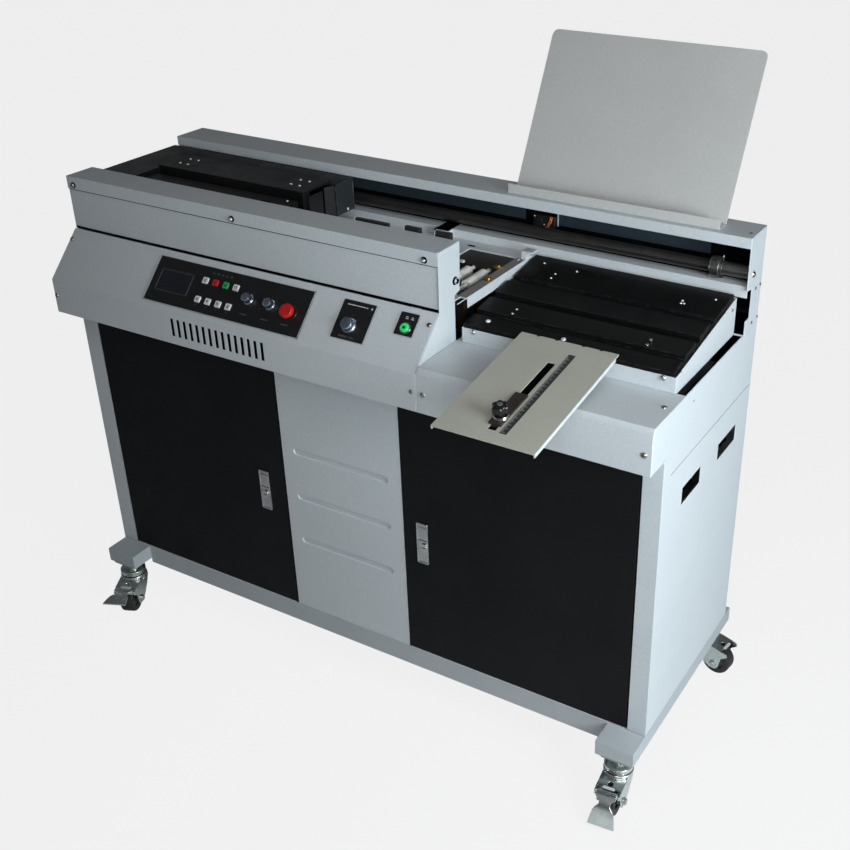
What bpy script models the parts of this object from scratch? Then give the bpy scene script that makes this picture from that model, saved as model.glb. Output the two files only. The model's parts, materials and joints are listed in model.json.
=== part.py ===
"""Perfect binding machine on casters, built as separate pieces with real clearances.

Machine coordinates: x runs right from the left outer face, y runs back from the door plane,
z runs up from the cabinet's bottom edge. The empty machine_origin carries every piece, and
puts the point under the middle of the machine, at floor level, at the world's origin.
"""
import math

import bmesh
import bpy
from mathutils import Matrix, Vector

for old_object in list(bpy.data.objects):
    bpy.data.objects.remove(old_object, do_unlink=True)

# Fits shared by all pieces
CLEAR = 0.0003
STEP_IN = 0.0003
OVERRUN = 0.004
SHEET = 0.002
WALL = 0.003

# Cabinet
WIDTH = 1.280
DEPTH = 0.405
DECK_HEIGHT = 0.727
PAN_THICKNESS = 0.0026
FRAME_FLANGE = 0.027
POST_LEFT = 0.037
POST_RIGHT = 0.036
MIDDLE_WIDTH = 0.275
RIGHT_DOORWAY = 0.508
LINTEL_HEIGHT = 0.073
LINTEL_SEAM = 0.0012
RAIL_DROP = 0.045
RAIL_DEPTH = 0.030

# Raised ribs on the middle panel
RIB_INSET = 0.028
RIB_HEIGHT = 0.013
RIB_DEPTH = 0.003
BEAD_STEPS = 6
RIB_HEIGHTS = (0.1697, 0.2716, 0.3735)

# Foot bars
FOOT_WIDTH = 0.075
FOOT_HEIGHT = 0.0317
FOOT_FRONT = -0.0506
FOOT_REACH_BACK = 0.025

# Casters
CASTER_HEIGHT = 0.112
CASTER_PLATE = 0.050
CASTER_PLATE_THICKNESS = 0.003
CASTER_FRONT = -0.025
CASTER_TRAIL = 0.033
WHEEL_RADIUS = 0.031
WHEEL_WIDTH = 0.030
HUB_RADIUS = 0.012
AXLE_RADIUS = 0.004
CROWN_RADIUS = 0.028
CROWN_DROP = 0.044
STEM_RADIUS = 0.013
FORK_SHEET = 0.0025
FORK_GAP = 0.0215
LEG_DROP = 0.038
HOOD_PATH = ((0.018, -0.0380), (0.034, -0.0395), (0.050, -0.0435))
HOOD_HOLE_OUT = 0.041
HOOD_HOLE_RADIUS = 0.005
BOLT_HEAD = 0.007
BOLT_PROUD = 0.004
PEDAL_PIN_OUT = 0.057
PEDAL_PIN_DROP = 0.050
PEDAL_PIN_RADIUS = 0.003
PEDAL_EYE = 0.0055
PEDAL_NECK = 0.038
PEDAL_SHEET = 0.0035
PEDAL_PATH = ((0.0, 0.0045), (0.0065, 0.0015), (0.0145, -0.0130), (0.0205, -0.0215), (0.0265, -0.0360),
              (0.0320, -0.0510))
PEDAL_HALF_WIDTHS = ((0.0190, 0.0100), (0.0190, -0.0030), (0.0115, -0.0080), (0.0105, -0.0150),
                     (0.0165, -0.0205), (0.0205, -0.0270), (0.0230, -0.0380), (0.0260, -0.0560))
CROWN_SHARES = ((0.88, 1.0), (1.0, 0.93), (1.0, 0.79), (0.90, 0.75), (0.965, 0.71), (0.965, 0.50),
                (0.80, 0.46))
LEG_SHARES = ((-0.485, 0.0), (0.61, 0.0), (1.515, 0.128), (1.85, 0.175), (1.91, 0.33), (1.73, 0.44),
              (1.515, 0.56), (1.36, 1.116), (1.18, 1.267), (0.79, 1.28), (0.30, 1.07), (-0.24, 0.65),
              (-0.545, 0.28))
WHEEL_SHARES = ((0.32, 1.0), (0.42, 0.7), (0.72, 0.7), (0.80, 0.9), (0.90, 0.9), (1.0, 0.5))
FRONT_LEFT_TURN = math.radians(-66)
FRONT_RIGHT_TURN = math.radians(-85)
BACK_LEFT_TURN = math.radians(188)
BACK_RIGHT_TURN = math.radians(-8)
PEDAL_LIFT = math.radians(70)

# Doors
DOOR_GAP = 0.0022
DOOR_BOTTOM = 0.002
DOOR_HEAD_GAP = 0.002
DOOR_DEPTH = 0.016
KNUCKLE = 0.009
KNUCKLE_CHAMFER = 0.001
PIN_RADIUS = 0.002
LOCK_EDGE_LEFT = 0.054
LOCK_EDGE_RIGHT = 0.047
LOCK_HEIGHT = 0.252
LOCK_RADIUS = 0.007
LOCK_HEAD = 0.0085
LOCK_PROUD = 0.004
LOCK_NUT = 0.010
LOCK_NUT_DEPTH = 0.003
CAM_WIDTH = 0.012
CAM_LENGTH = 0.064
CAM_SHEET = 0.0025

# Console
CONSOLE_END_SETBACK = 0.0128
CONSOLE_FRONT = -0.0554
CONSOLE_SILL = 0.005
BEND_BELOW_DECK = 0.0858
SLOPE_RUN = 0.0783
SLOPE_RISE = 0.0814
PLATE_SEAM = 0.0009
PLATE_HEIGHT = 0.0885
CAP_FRONT = 0.0232
CAP_BACK = 0.090
CAP_HEIGHT = 0.025
CAP_RISE = 0.016
END_STEP_Y = 0.0715
END_STEP_RISE = 0.0141
END_BACK_Y = 0.087
END_BACK_RISE = 0.0038
VENT_COUNT = 15
VENT_START_INSET = 0.5434
VENT_PITCH = 0.0153
VENT_WIDTH = 0.006
VENT_SILL = 0.0175
VENT_HEIGHT = 0.035

# Control panel, along the slope from its lower bend
PANEL_WIDTH = 0.365
PANEL_INSET = 0.25
PANEL_LOW = 0.008
PANEL_HIGH = 0.100
PANEL_SHEET = 0.0015
KEY_SIDE = 0.0125
KEY_CORNER = 0.002
KEY_PROUD = 0.0025
KEY_FLANGE = 0.0018
BUTTON_INSETS = (0.2407, 0.2168, 0.1922, 0.1682)
BUTTON_ROWS = (0.033, 0.071)
BUTTON_FLANGE = 0.008
BUTTON_FLANGE_DEPTH = 0.0025
FACE_SHARE = 0.9
KEY_CORNER_SHARES = (0.0, 0.5, 1.0)
SIDE_SHARE = 0.8
HOLE_PLAY = 0.0004
DIAL_INSETS = (0.1315, 0.0825)
DIAL_ROW = 0.056
DIAL_RADIUS = 0.011
DIAL_HEIGHT = 0.014
SPINDLE_RADIUS = 0.003
STOP_INSET = 0.036
STOP_ROW = 0.050
STOP_RADIUS = 0.0135
STOP_STEM = 0.006
STOP_STANDOFF = 0.006
STOP_HEIGHT = 0.009
SELECTOR_INSET = 0.1593
SELECTOR_ROW = 0.0547
SELECTOR_RADIUS = 0.0145
SELECTOR_HEIGHT = 0.012
POWER_INSET = 0.0516
POWER_ROW = 0.0737
POWER_RADIUS = 0.0078
POWER_PROUD = 0.0045
POWER_FLANGE = 0.0015

# Shelf
SHELF_BELOW_DECK = 0.073
SHELF_BEND = -0.0490
SHELF_BACK = 0.3355
SHELF_SLOT_FRONT = 0.074
SHELF_SLOT_BACK = 0.330
SHELF_STRIP = 0.0023

# Rear beam, shaft and slide rail
BEAM_FRONT = 0.3265
BEAM_HEIGHT = 0.019
BEAM_ABOVE_DECK = 0.106
SIDE_STEP_INSET = 0.051
SIDE_STEP_BELOW_DECK = 0.048
SIDE_STEP_RISE = 0.054
SIDE_STEP_LIP = 0.004
LEFT_PANEL_RISE = 0.02
WINDOW_BACK_INSETS = (0.151, 0.063)
WINDOW_FRONT = (0.088, 0.171)
WINDOW_BELOW_DECK = 0.285
WINDOW_HEIGHT = 0.033
SHAFT_Y = 0.352
SHAFT_ABOVE_DECK = 0.036
SHAFT_RADIUS = 0.011
SHAFT_PLAY = 0.0003
COLLAR_INSET = 0.0575
COLLAR_LENGTH = 0.017
COLLAR_RADIUS = 0.019
RAIL_ABOVE_DECK = 0.016
RAIL_WIDTH = 0.030
LEDGE_DEPTH = 0.016
LEDGE_OVERLAP = 0.0042

# Paper rest
REST_WIDTH = 0.412
REST_INSET = 0.062
REST_SETBACK = 0.0115
REST_LIP = 0.018
REST_FLOOR = 0.033
REST_TILT = math.radians(28.1)
REST_LENGTH = 0.299
REST_CORNER = 0.012

# Carriage and clamp
CARRIAGE_LEFT = 0.004
CARRIAGE_RIGHT = 0.468
CARRIAGE_BACK = 0.314
CARRIAGE_ABOVE_DECK = 0.091
CARRIAGE_CLEARANCE = 0.027
BACK_BOX_DEPTH = 0.056
LEFT_BLOCK_RIGHT = 0.092
LEFT_BLOCK_CLEARANCE = 0.043
FIXED_JAW_FRONT = 0.104
FIXED_JAW_FACE = 0.160
FIXED_JAW_RIGHT = 0.457
FIXED_JAW_DROP = 0.006
FIXED_JAW_PLATE = 0.012
BUSH_LENGTH = 0.040
BUSH_LEFT = 0.030
BUSH_RIGHT = 0.375
BUSH_BACK = 0.372
BUSH_ABOVE_DECK = 0.056
CLAMP_GAP = 0.018
JAW_LEFT = 0.096
JAW_RIGHT = 0.455
JAW_PLATE = 0.020
JAW_CLEARANCE = 0.029
JAW_ROD_RADIUS = 0.008
JAW_ROD_REACH = 0.082
JAW_ROD_ABOVE_DECK = 0.058
JAW_RODS = (0.150, 0.400)
BAR_LEFT = 0.090
BAR_DEPTH = 0.082
BAR_THICKNESS = 0.0045

# Deck with its milling and glue openings
DECK_SHEET = 0.003
BAY_WIDTH = 0.4122
DECK_LIP = 0.015
MILL_INSET = 0.2428
BOOK_Y = 0.190
MILL_OPENING = 0.130
CUTTER_RADIUS = 0.055
CUTTER_THICKNESS = 0.009
CUTTER_PROUD = 0.005
MOTOR_RADIUS = 0.042
MOTOR_BELOW_DECK = 0.027
MOTOR_LENGTH = 0.100
MOTOR_PLATE = 0.150
MOTOR_POST = 0.010
GLUE_WIDTH = 0.101
GLUE_INSET = 0.0218
GLUE_FRONT = 0.098
GLUE_BACK = 0.300
TANK_WIDTH = 0.09
TANK_INSET = 0.004
TANK_FRONT = 0.120
TANK_BACK = 0.240
TANK_DEPTH = 0.077
TANK_RIM = 0.005
ROLLER_RADIUS = 0.010
ROLLER_LENGTH = 0.062
ROLLER_AXLE = 0.004
ROLLER_PROUD = 0.0005
ROLLER_INSETS = (0.052, 0.0195)

# Machinery in the cabinet
DRIVE_INSET = 0.1678
DRIVE_WIDTH = 0.120
DRIVE_DEPTH = 0.090
DRIVE_HEIGHT = 0.080
DRIVE_BELOW_DECK = 0.137
DRIVE_SHAFT_RADIUS = 0.008
DRIVE_SHAFT_LENGTH = 0.030
BOX_INSET = 0.4
BOX_WIDTH = 0.320
BOX_FRONT = 0.200
BOX_SETBACK = 0.025
BOX_HEIGHT = 0.300

# Cover table, along its tilted top from the tray's front edge
TRAY_INSET = 0.018
TRAY_FRONT = 0.070
TRAY_BACK = 0.333
TRAY_BELOW_DECK = 0.045
TRAY_TILT = math.radians(8.5)
TABLE_MARGIN = 0.004
TABLE_LENGTH = 0.262
TABLE_PLATE = 0.004
STRIP_DEPTH = 0.035
STRIP_TOP = 0.009
NIP_TOP = 0.012
NIP_DEPTH = 0.044
NIP_FACE = 0.091
NIP_GAP = 0.018
BACK_PLATE_START = 0.175
BACK_PLATE_TOP = 0.008

# Cover guide plate, on the table's front strip
GUIDE_WIDTH = 0.178
GUIDE_INSET = 0.104
GUIDE_REACH = 0.273
GUIDE_OVERLAP = 0.012
GUIDE_SHEET = 0.002
GUIDE_EDGE = 0.007
GUIDE_EDGE_SETBACK = 0.003
SLOT_INSET = 0.088
SLOT_WIDTH = 0.014
SLOT_START = -0.245
SLOT_END = -0.052
NOTCH_RADIUS = 0.003
NOTCH_INSETS = (0.146, 0.112, 0.063, 0.031)
STOP_BLOCK_START = -0.235
STOP_BLOCK_LENGTH = 0.085
STOP_BLOCK_WIDTH = 0.022
STOP_BLOCK_HEIGHT = 0.004
STOP_KEEPER_WIDTH = 0.024
KNOB_ALONG = -0.215
KNOB_BOSS = 0.0065
KNOB_BOSS_HEIGHT = 0.008
KNOB_RADIUS = 0.0145
KNOB_LOBE_SHARE = 0.12
KNOB_LOBES = 6
KNOB_HEIGHT = 0.014

# Places worked out from the sizes above
BEND_HEIGHT = DECK_HEIGHT - BEND_BELOW_DECK
LINTEL_TOP = BEND_HEIGHT - LINTEL_SEAM
LINTEL_BOTTOM = LINTEL_TOP - LINTEL_HEIGHT
DOOR_TOP = LINTEL_BOTTOM - DOOR_HEAD_GAP
CONSOLE_BOTTOM = LINTEL_BOTTOM + CONSOLE_SILL
VENT_BOTTOM = CONSOLE_BOTTOM + VENT_SILL
VENT_TOP = VENT_BOTTOM + VENT_HEIGHT
SLOPE_TOP_Y = CONSOLE_FRONT + SLOPE_RUN
SLOPE_TOP_Z = BEND_HEIGHT + SLOPE_RISE
PLATE_BOTTOM = SLOPE_TOP_Z + PLATE_SEAM
PLATE_TOP = PLATE_BOTTOM + PLATE_HEIGHT
CAP_TOP = PLATE_TOP + CAP_RISE
CAP_BOTTOM = CAP_TOP - CAP_HEIGHT
END_STEP_Z = SLOPE_TOP_Z + END_STEP_RISE
END_BACK_Z = END_STEP_Z + END_BACK_RISE
SHELF_TOP = DECK_HEIGHT - SHELF_BELOW_DECK
BEAM_TOP = DECK_HEIGHT + BEAM_ABOVE_DECK
BEAM_BOTTOM = BEAM_TOP - BEAM_HEIGHT
SIDE_STEP_BACK = DEPTH - SIDE_STEP_INSET
SIDE_STEP_LOW = DECK_HEIGHT - SIDE_STEP_BELOW_DECK
SIDE_STEP_HIGH = SIDE_STEP_LOW + SIDE_STEP_RISE
SIDE_STEP_CORNER = SIDE_STEP_HIGH + SIDE_STEP_LIP
LEFT_PANEL_TOP = DECK_HEIGHT + LEFT_PANEL_RISE
WINDOW_BOTTOM = DECK_HEIGHT - WINDOW_BELOW_DECK
WINDOW_TOP = WINDOW_BOTTOM + WINDOW_HEIGHT
WINDOW_BACK = tuple(DEPTH - inset for inset in WINDOW_BACK_INSETS)
SHAFT_Z = DECK_HEIGHT + SHAFT_ABOVE_DECK
RAIL_TOP = DECK_HEIGHT + RAIL_ABOVE_DECK
CARRIAGE_TOP = DECK_HEIGHT + CARRIAGE_ABOVE_DECK
CARRIAGE_BOTTOM = DECK_HEIGHT + CARRIAGE_CLEARANCE
LEFT_BLOCK_BOTTOM = DECK_HEIGHT + LEFT_BLOCK_CLEARANCE
FIXED_JAW_TOP = CARRIAGE_TOP - FIXED_JAW_DROP
BUSH_TOP = DECK_HEIGHT + BUSH_ABOVE_DECK
JAW_BOTTOM = DECK_HEIGHT + JAW_CLEARANCE
JAW_ROD_HEIGHT = DECK_HEIGHT + JAW_ROD_ABOVE_DECK
MOTOR_TOP = DECK_HEIGHT - MOTOR_BELOW_DECK
TANK_BOTTOM = DECK_HEIGHT - TANK_DEPTH
DRIVE_BOTTOM = DECK_HEIGHT - DRIVE_BELOW_DECK
TRAY_HEIGHT = DECK_HEIGHT - TRAY_BELOW_DECK
DECK_RIGHT = WIDTH - BAY_WIDTH
CONSOLE_WIDTH = DECK_RIGHT - CONSOLE_END_SETBACK
VENT_START = CONSOLE_WIDTH - VENT_START_INSET
PANEL_RIGHT = CONSOLE_WIDTH - PANEL_INSET
PANEL_LEFT = PANEL_RIGHT - PANEL_WIDTH
BUTTON_COLUMNS = tuple(PANEL_RIGHT - inset for inset in BUTTON_INSETS)
DIAL_COLUMNS = tuple(PANEL_RIGHT - inset for inset in DIAL_INSETS)
STOP_COLUMN = PANEL_RIGHT - STOP_INSET
SELECTOR_COLUMN = CONSOLE_WIDTH - SELECTOR_INSET
POWER_COLUMN = CONSOLE_WIDTH - POWER_INSET
LEDGE_RIGHT = DECK_RIGHT + LEDGE_OVERLAP
REST_RIGHT = WIDTH - REST_INSET
REST_LEFT = REST_RIGHT - REST_WIDTH
COLLAR_RIGHT = WIDTH - COLLAR_INSET
MILL_X = DECK_RIGHT - MILL_INSET
GLUE_RIGHT = DECK_RIGHT - GLUE_INSET
GLUE_LEFT = GLUE_RIGHT - GLUE_WIDTH
TANK_RIGHT = GLUE_RIGHT - TANK_INSET
TANK_LEFT = TANK_RIGHT - TANK_WIDTH
ROLLER_COLUMNS = tuple(TANK_RIGHT - inset for inset in ROLLER_INSETS)
DRIVE_LEFT = DECK_RIGHT - DRIVE_INSET
BOX_LEFT = WIDTH - BOX_INSET
BOX_BACK = DEPTH - BOX_SETBACK
TRAY_RIGHT = WIDTH - TRAY_INSET
GUIDE_RIGHT = TRAY_RIGHT - GUIDE_INSET
GUIDE_LEFT = GUIDE_RIGHT - GUIDE_WIDTH
SLOT_X = GUIDE_RIGHT - SLOT_INSET
NOTCH_COLUMNS = tuple(GUIDE_RIGHT - inset for inset in NOTCH_INSETS)
MIDDLE_RIGHT = WIDTH - RIGHT_DOORWAY
MIDDLE_LEFT = MIDDLE_RIGHT - MIDDLE_WIDTH
FLOOR = -(PAN_THICKNESS + FOOT_HEIGHT + CASTER_HEIGHT)
FOOT_BACK = DEPTH + FOOT_REACH_BACK
CASTER_BACK = DEPTH
SLOPE = math.atan2(SLOPE_TOP_Z - BEND_HEIGHT, SLOPE_TOP_Y - CONSOLE_FRONT)
INNER_LEFT = SHEET + CLEAR
INNER_RIGHT = WIDTH - SHEET - CLEAR
POST_RIGHT_X = WIDTH - POST_RIGHT
REST_BOTTOM = BEAM_TOP + CLEAR
REST_FRONT = BEAM_FRONT + REST_SETBACK
REST_FOLD = REST_FRONT + REST_FLOOR
GUIDE_BOTTOM = STRIP_TOP + CLEAR
GUIDE_TOP = GUIDE_BOTTOM + GUIDE_SHEET
TRAY_LEFT = DECK_RIGHT + CLEAR
FRONT_REACH = (TRAY_FRONT - GUIDE_REACH * math.cos(TRAY_TILT) - GUIDE_TOP * math.sin(TRAY_TILT))
BACK_REACH = REST_FOLD + REST_LENGTH * math.sin(REST_TILT)
CENTRE_Y = (FRONT_REACH + BACK_REACH) / 2

machine_origin = bpy.data.objects.new("machine_origin", None)
bpy.context.scene.collection.objects.link(machine_origin)
machine_origin.location = (-WIDTH / 2, -CENTRE_Y, -FLOOR)


def paint(name, colour, roughness, metallic=0.0):
    """A Principled material with one colour, roughness and metallic value."""
    material = bpy.data.materials.new(name)
    material.use_nodes = True
    shader = material.node_tree.nodes["Principled BSDF"]
    shader.inputs["Base Color"].default_value = (*colour, 1.0)
    shader.inputs["Roughness"].default_value = roughness
    shader.inputs["Metallic"].default_value = metallic
    material.diffuse_color = (*colour, 1.0)
    return material


GREY_COAT = paint("grey_coat", (0.55, 0.58, 0.60), 0.45)
BLACK_COAT = paint("black_coat", (0.012, 0.012, 0.013), 0.45)
ZINC = paint("zinc", (0.55, 0.56, 0.55), 0.3, 0.9)
POLISHED = paint("polished_steel", (0.6, 0.6, 0.6), 0.2, 1.0)
DARK_STEEL = paint("dark_steel", (0.06, 0.06, 0.06), 0.35, 0.7)
BEIGE_COAT = paint("beige_grey_coat", (0.48, 0.46, 0.42), 0.5)
RUBBER = paint("black_rubber", (0.015, 0.015, 0.015), 0.8)
BLACK_PLASTIC = paint("black_plastic", (0.01, 0.01, 0.01), 0.4)
WHITE_PLASTIC = paint("white_plastic", (0.85, 0.85, 0.85), 0.4)
RED_PLASTIC = paint("red_plastic", (0.7, 0.02, 0.02), 0.35)
GREEN_PLASTIC = paint("green_plastic", (0.02, 0.45, 0.1), 0.35)
WHITE_ROLLER = paint("white_roller", (0.8, 0.8, 0.8), 0.5)


def add_object(name, mesh, material, place=(0, 0, 0), turn=(0, 0, 0)):
    """One piece in machine coordinates, carried by the machine's origin."""
    piece = bpy.data.objects.new(name, mesh)
    bpy.context.scene.collection.objects.link(piece)
    if material is not None and not mesh.materials:
        mesh.materials.append(material)
    piece.parent = machine_origin
    piece.location = place
    piece.rotation_euler = turn
    return piece


def finish_mesh(name, built):
    """Turns a bmesh into a mesh with its faces pointing out."""
    bmesh.ops.recalc_face_normals(built, faces=built.faces)
    mesh = bpy.data.meshes.new(name)
    built.to_mesh(mesh)
    built.free()
    return mesh


def box(low_x, high_x, low_y, high_y, low_z, high_z):
    """The two corners of an upright box."""
    return (low_x, low_y, low_z), (high_x, high_y, high_z)


def mesh_of_boxes(name, filled, opened=()):
    """One closed body: all that lies in a filled box and in no opened box."""
    steps = []
    for axis in range(3):
        edges = {round(corner[axis], 7) for pair in (*filled, *opened) for corner in pair}
        steps.append(sorted(edges))

    def holds(pair, middle):
        return all(pair[0][axis] < middle[axis] < pair[1][axis] for axis in range(3))

    cells = set()
    for i in range(len(steps[0]) - 1):
        for j in range(len(steps[1]) - 1):
            for k in range(len(steps[2]) - 1):
                index = (i, j, k)
                middle = [(steps[axis][index[axis]] + steps[axis][index[axis] + 1]) / 2 for axis in range(3)]
                inside = any(holds(pair, middle) for pair in filled)
                if inside and not any(holds(pair, middle) for pair in opened):
                    cells.add(index)
    built = bmesh.new()
    corners = {}

    def corner(i, j, k):
        if (i, j, k) not in corners:
            corners[(i, j, k)] = built.verts.new((steps[0][i], steps[1][j], steps[2][k]))
        return corners[(i, j, k)]

    for cell in cells:
        for axis in range(3):
            for side in (0, 1):
                beyond = list(cell)
                beyond[axis] += 1 if side else -1
                if tuple(beyond) in cells:
                    continue
                ring = []
                for first, second in ((0, 0), (1, 0), (1, 1), (0, 1)):
                    spot = list(cell)
                    spot[axis] += side
                    spot[(axis + 1) % 3] += first
                    spot[(axis + 2) % 3] += second
                    ring.append(corner(*spot))
                built.faces.new(ring if side else list(reversed(ring)))
    bmesh.ops.dissolve_limit(built, angle_limit=math.radians(1), verts=built.verts, edges=built.edges)
    return finish_mesh(name, built)


def boxes(name, material, filled, opened=(), place=(0, 0, 0), turn=(0, 0, 0)):
    """A piece made of upright boxes."""
    return add_object(name, mesh_of_boxes(name, filled, opened), material, place, turn)


def along(axis, first, second, length):
    """A point from two outline values and a distance along the outline's axis."""
    if axis == "X":
        return length, first, second
    if axis == "Y":
        return first, length, second
    return first, second, length


def prism_mesh(name, outline, axis, low, high):
    """An outline pushed along an axis: (y, z) along X, (x, z) along Y, (x, y) along Z."""
    built = bmesh.new()
    start = [built.verts.new(along(axis, first, second, low)) for first, second in outline]
    end = [built.verts.new(along(axis, first, second, high)) for first, second in outline]
    count = len(outline)
    for index in range(count):
        following = (index + 1) % count
        built.faces.new((start[index], start[following], end[following], end[index]))
    built.faces.new(list(reversed(start)))
    built.faces.new(end)
    return finish_mesh(name, built)


def prism(name, material, outline, axis, low, high, place=(0, 0, 0), turn=(0, 0, 0)):
    """A piece made by pushing an outline along an axis."""
    return add_object(name, prism_mesh(name, outline, axis, low, high), material, place, turn)


def offset_path(points, distance):
    """The path moved sideways by a distance, to the right of its direction of travel."""
    moved = []
    for index, point in enumerate(points):
        here = Vector(point)
        before = here - Vector(points[index - 1]) if index > 0 else None
        after = Vector(points[index + 1]) - here if index + 1 < len(points) else None
        directions = [step.normalized() for step in (before, after) if step is not None]
        normals = [Vector((step.y, -step.x)) for step in directions]
        middle = sum(normals, Vector((0, 0))).normalized()
        moved.append(tuple(here + middle * (distance / middle.dot(normals[0]))))
    return moved


def folded(name, material, path, low, high, thickness=SHEET, place=(0, 0, 0), turn=(0, 0, 0)):
    """A folded sheet: its outer path in (y, z), pushed along x, with the sheet on its right."""
    outline = list(path) + list(reversed(offset_path(path, thickness)))
    return prism(name, material, outline, "X", low, high, place, turn)


def turned_mesh(name, profile, sides=24):
    """A profile of (radius, height) points turned about z; a closed ring if none is at radius 0."""
    built = bmesh.new()
    rings = []
    for radius, height in profile:
        if radius == 0:
            rings.append([built.verts.new((0, 0, height))])
            continue
        ring = []
        for step in range(sides):
            angle = 2 * math.pi * step / sides
            ring.append(built.verts.new((radius * math.cos(angle), radius * math.sin(angle), height)))
        rings.append(ring)
    pairs = list(zip(rings, rings[1:]))
    if profile[0][0] > 0 and profile[-1][0] > 0:
        pairs.append((rings[-1], rings[0]))
    for lower, upper in pairs:
        for step in range(sides):
            following = (step + 1) % sides
            face = [lower[step % len(lower)], lower[following % len(lower)],
                    upper[following % len(upper)], upper[step % len(upper)]]
            corners = []
            for corner in face:
                if corner not in corners:
                    corners.append(corner)
            built.faces.new(corners)
    mesh = finish_mesh(name, built)
    mesh.shade_smooth()
    mesh.set_sharp_from_angle(angle=math.radians(35))
    return mesh


def rod_mesh(name, radius, start, end, sides=24):
    """A round rod between two points."""
    direction = Vector(end) - Vector(start)
    mesh = turned_mesh(name, ((0, 0), (radius, 0), (radius, direction.length), (0, direction.length)), sides)
    turn = direction.to_track_quat("Z", "Y").to_matrix().to_4x4()
    mesh.transform(Matrix.Translation(Vector(start)) @ turn)
    return mesh


def combine(piece, tool_name, mesh, operation="DIFFERENCE", place=(0, 0, 0), turn=(0, 0, 0)):
    """Cuts a shape out of a piece, or joins it on, with a Boolean modifier."""
    tool = add_object(f"{tool_name}_tool", mesh, None, place, turn)
    tool.hide_render = True
    tool.display_type = "WIRE"
    change = piece.modifiers.new(tool_name, "BOOLEAN")
    change.operation = operation
    change.solver = "EXACT"
    change.object = tool
    return tool


def merged_mesh(name, meshes):
    """Several loose shapes in one mesh, for one cutter."""
    built = bmesh.new()
    for mesh in meshes:
        built.from_mesh(mesh)
    result = bpy.data.meshes.new(name)
    built.to_mesh(result)
    built.free()
    return result


def settled_mesh(name, piece, tools):
    """The mesh of a piece with its modifiers worked in; the piece and its tools are removed."""
    bpy.context.view_layer.update()
    graph = bpy.context.evaluated_depsgraph_get()
    mesh = bpy.data.meshes.new_from_object(piece.evaluated_get(graph))
    mesh.name = name
    for used in (piece, *tools):
        bpy.data.objects.remove(used, do_unlink=True)
    return mesh


def build_base_frame():
    """Floor pan, front and back rails, two hollow foot bars and the caster plates, welded."""
    foot_top = -PAN_THICKNESS
    foot_bottom = foot_top - FOOT_HEIGHT
    filled = [box(0, WIDTH, 0, DEPTH - SHEET - CLEAR, foot_top, 0)]
    opened = []
    for left in (0, WIDTH - FOOT_WIDTH):
        right = left + FOOT_WIDTH
        filled.append(box(left, right, FOOT_FRONT, FOOT_BACK, foot_bottom, foot_top))
        opened.append(box(left + WALL, right - WALL, FOOT_FRONT + WALL, FOOT_BACK + OVERRUN,
                          foot_bottom + WALL, foot_top - WALL))
        middle = left + FOOT_WIDTH / 2
        half = CASTER_PLATE / 2
        for along_y in (CASTER_FRONT, CASTER_BACK):
            filled.append(box(middle - half, middle + half, along_y - half, along_y + half,
                              foot_bottom - CASTER_PLATE_THICKNESS, foot_bottom))
    for low in (0, DEPTH - SHEET - CLEAR - RAIL_DEPTH):
        filled.append(box(FOOT_WIDTH, WIDTH - FOOT_WIDTH, low, low + RAIL_DEPTH, -RAIL_DROP, foot_top))
        opened.append(box(FOOT_WIDTH + WALL, WIDTH - FOOT_WIDTH - WALL,
                          low + SHEET, low + RAIL_DEPTH - SHEET, -RAIL_DROP - OVERRUN, foot_top - SHEET))
    return boxes("base_frame", GREY_COAT, filled, opened)


def hinge_pin_x():
    """Where the left and the right hinge pins stand."""
    return POST_LEFT + DOOR_GAP + KNUCKLE / 2, POST_RIGHT_X - DOOR_GAP - KNUCKLE / 2


def bead_outline(middle, margin):
    """A bead of the middle panel with its round ends, in (x, z), widened by a margin."""
    radius = RIB_HEIGHT / 2 + margin
    points = []
    for end, turn in ((MIDDLE_RIGHT - RIB_INSET, -math.pi / 2), (MIDDLE_LEFT + RIB_INSET, math.pi / 2)):
        centre = end + math.copysign(RIB_HEIGHT / 2, turn)
        for step in range(BEAD_STEPS + 1):
            angle = turn + math.pi * step / BEAD_STEPS
            points.append((centre + radius * math.cos(angle), middle + radius * math.sin(angle)))
    return points


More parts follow.
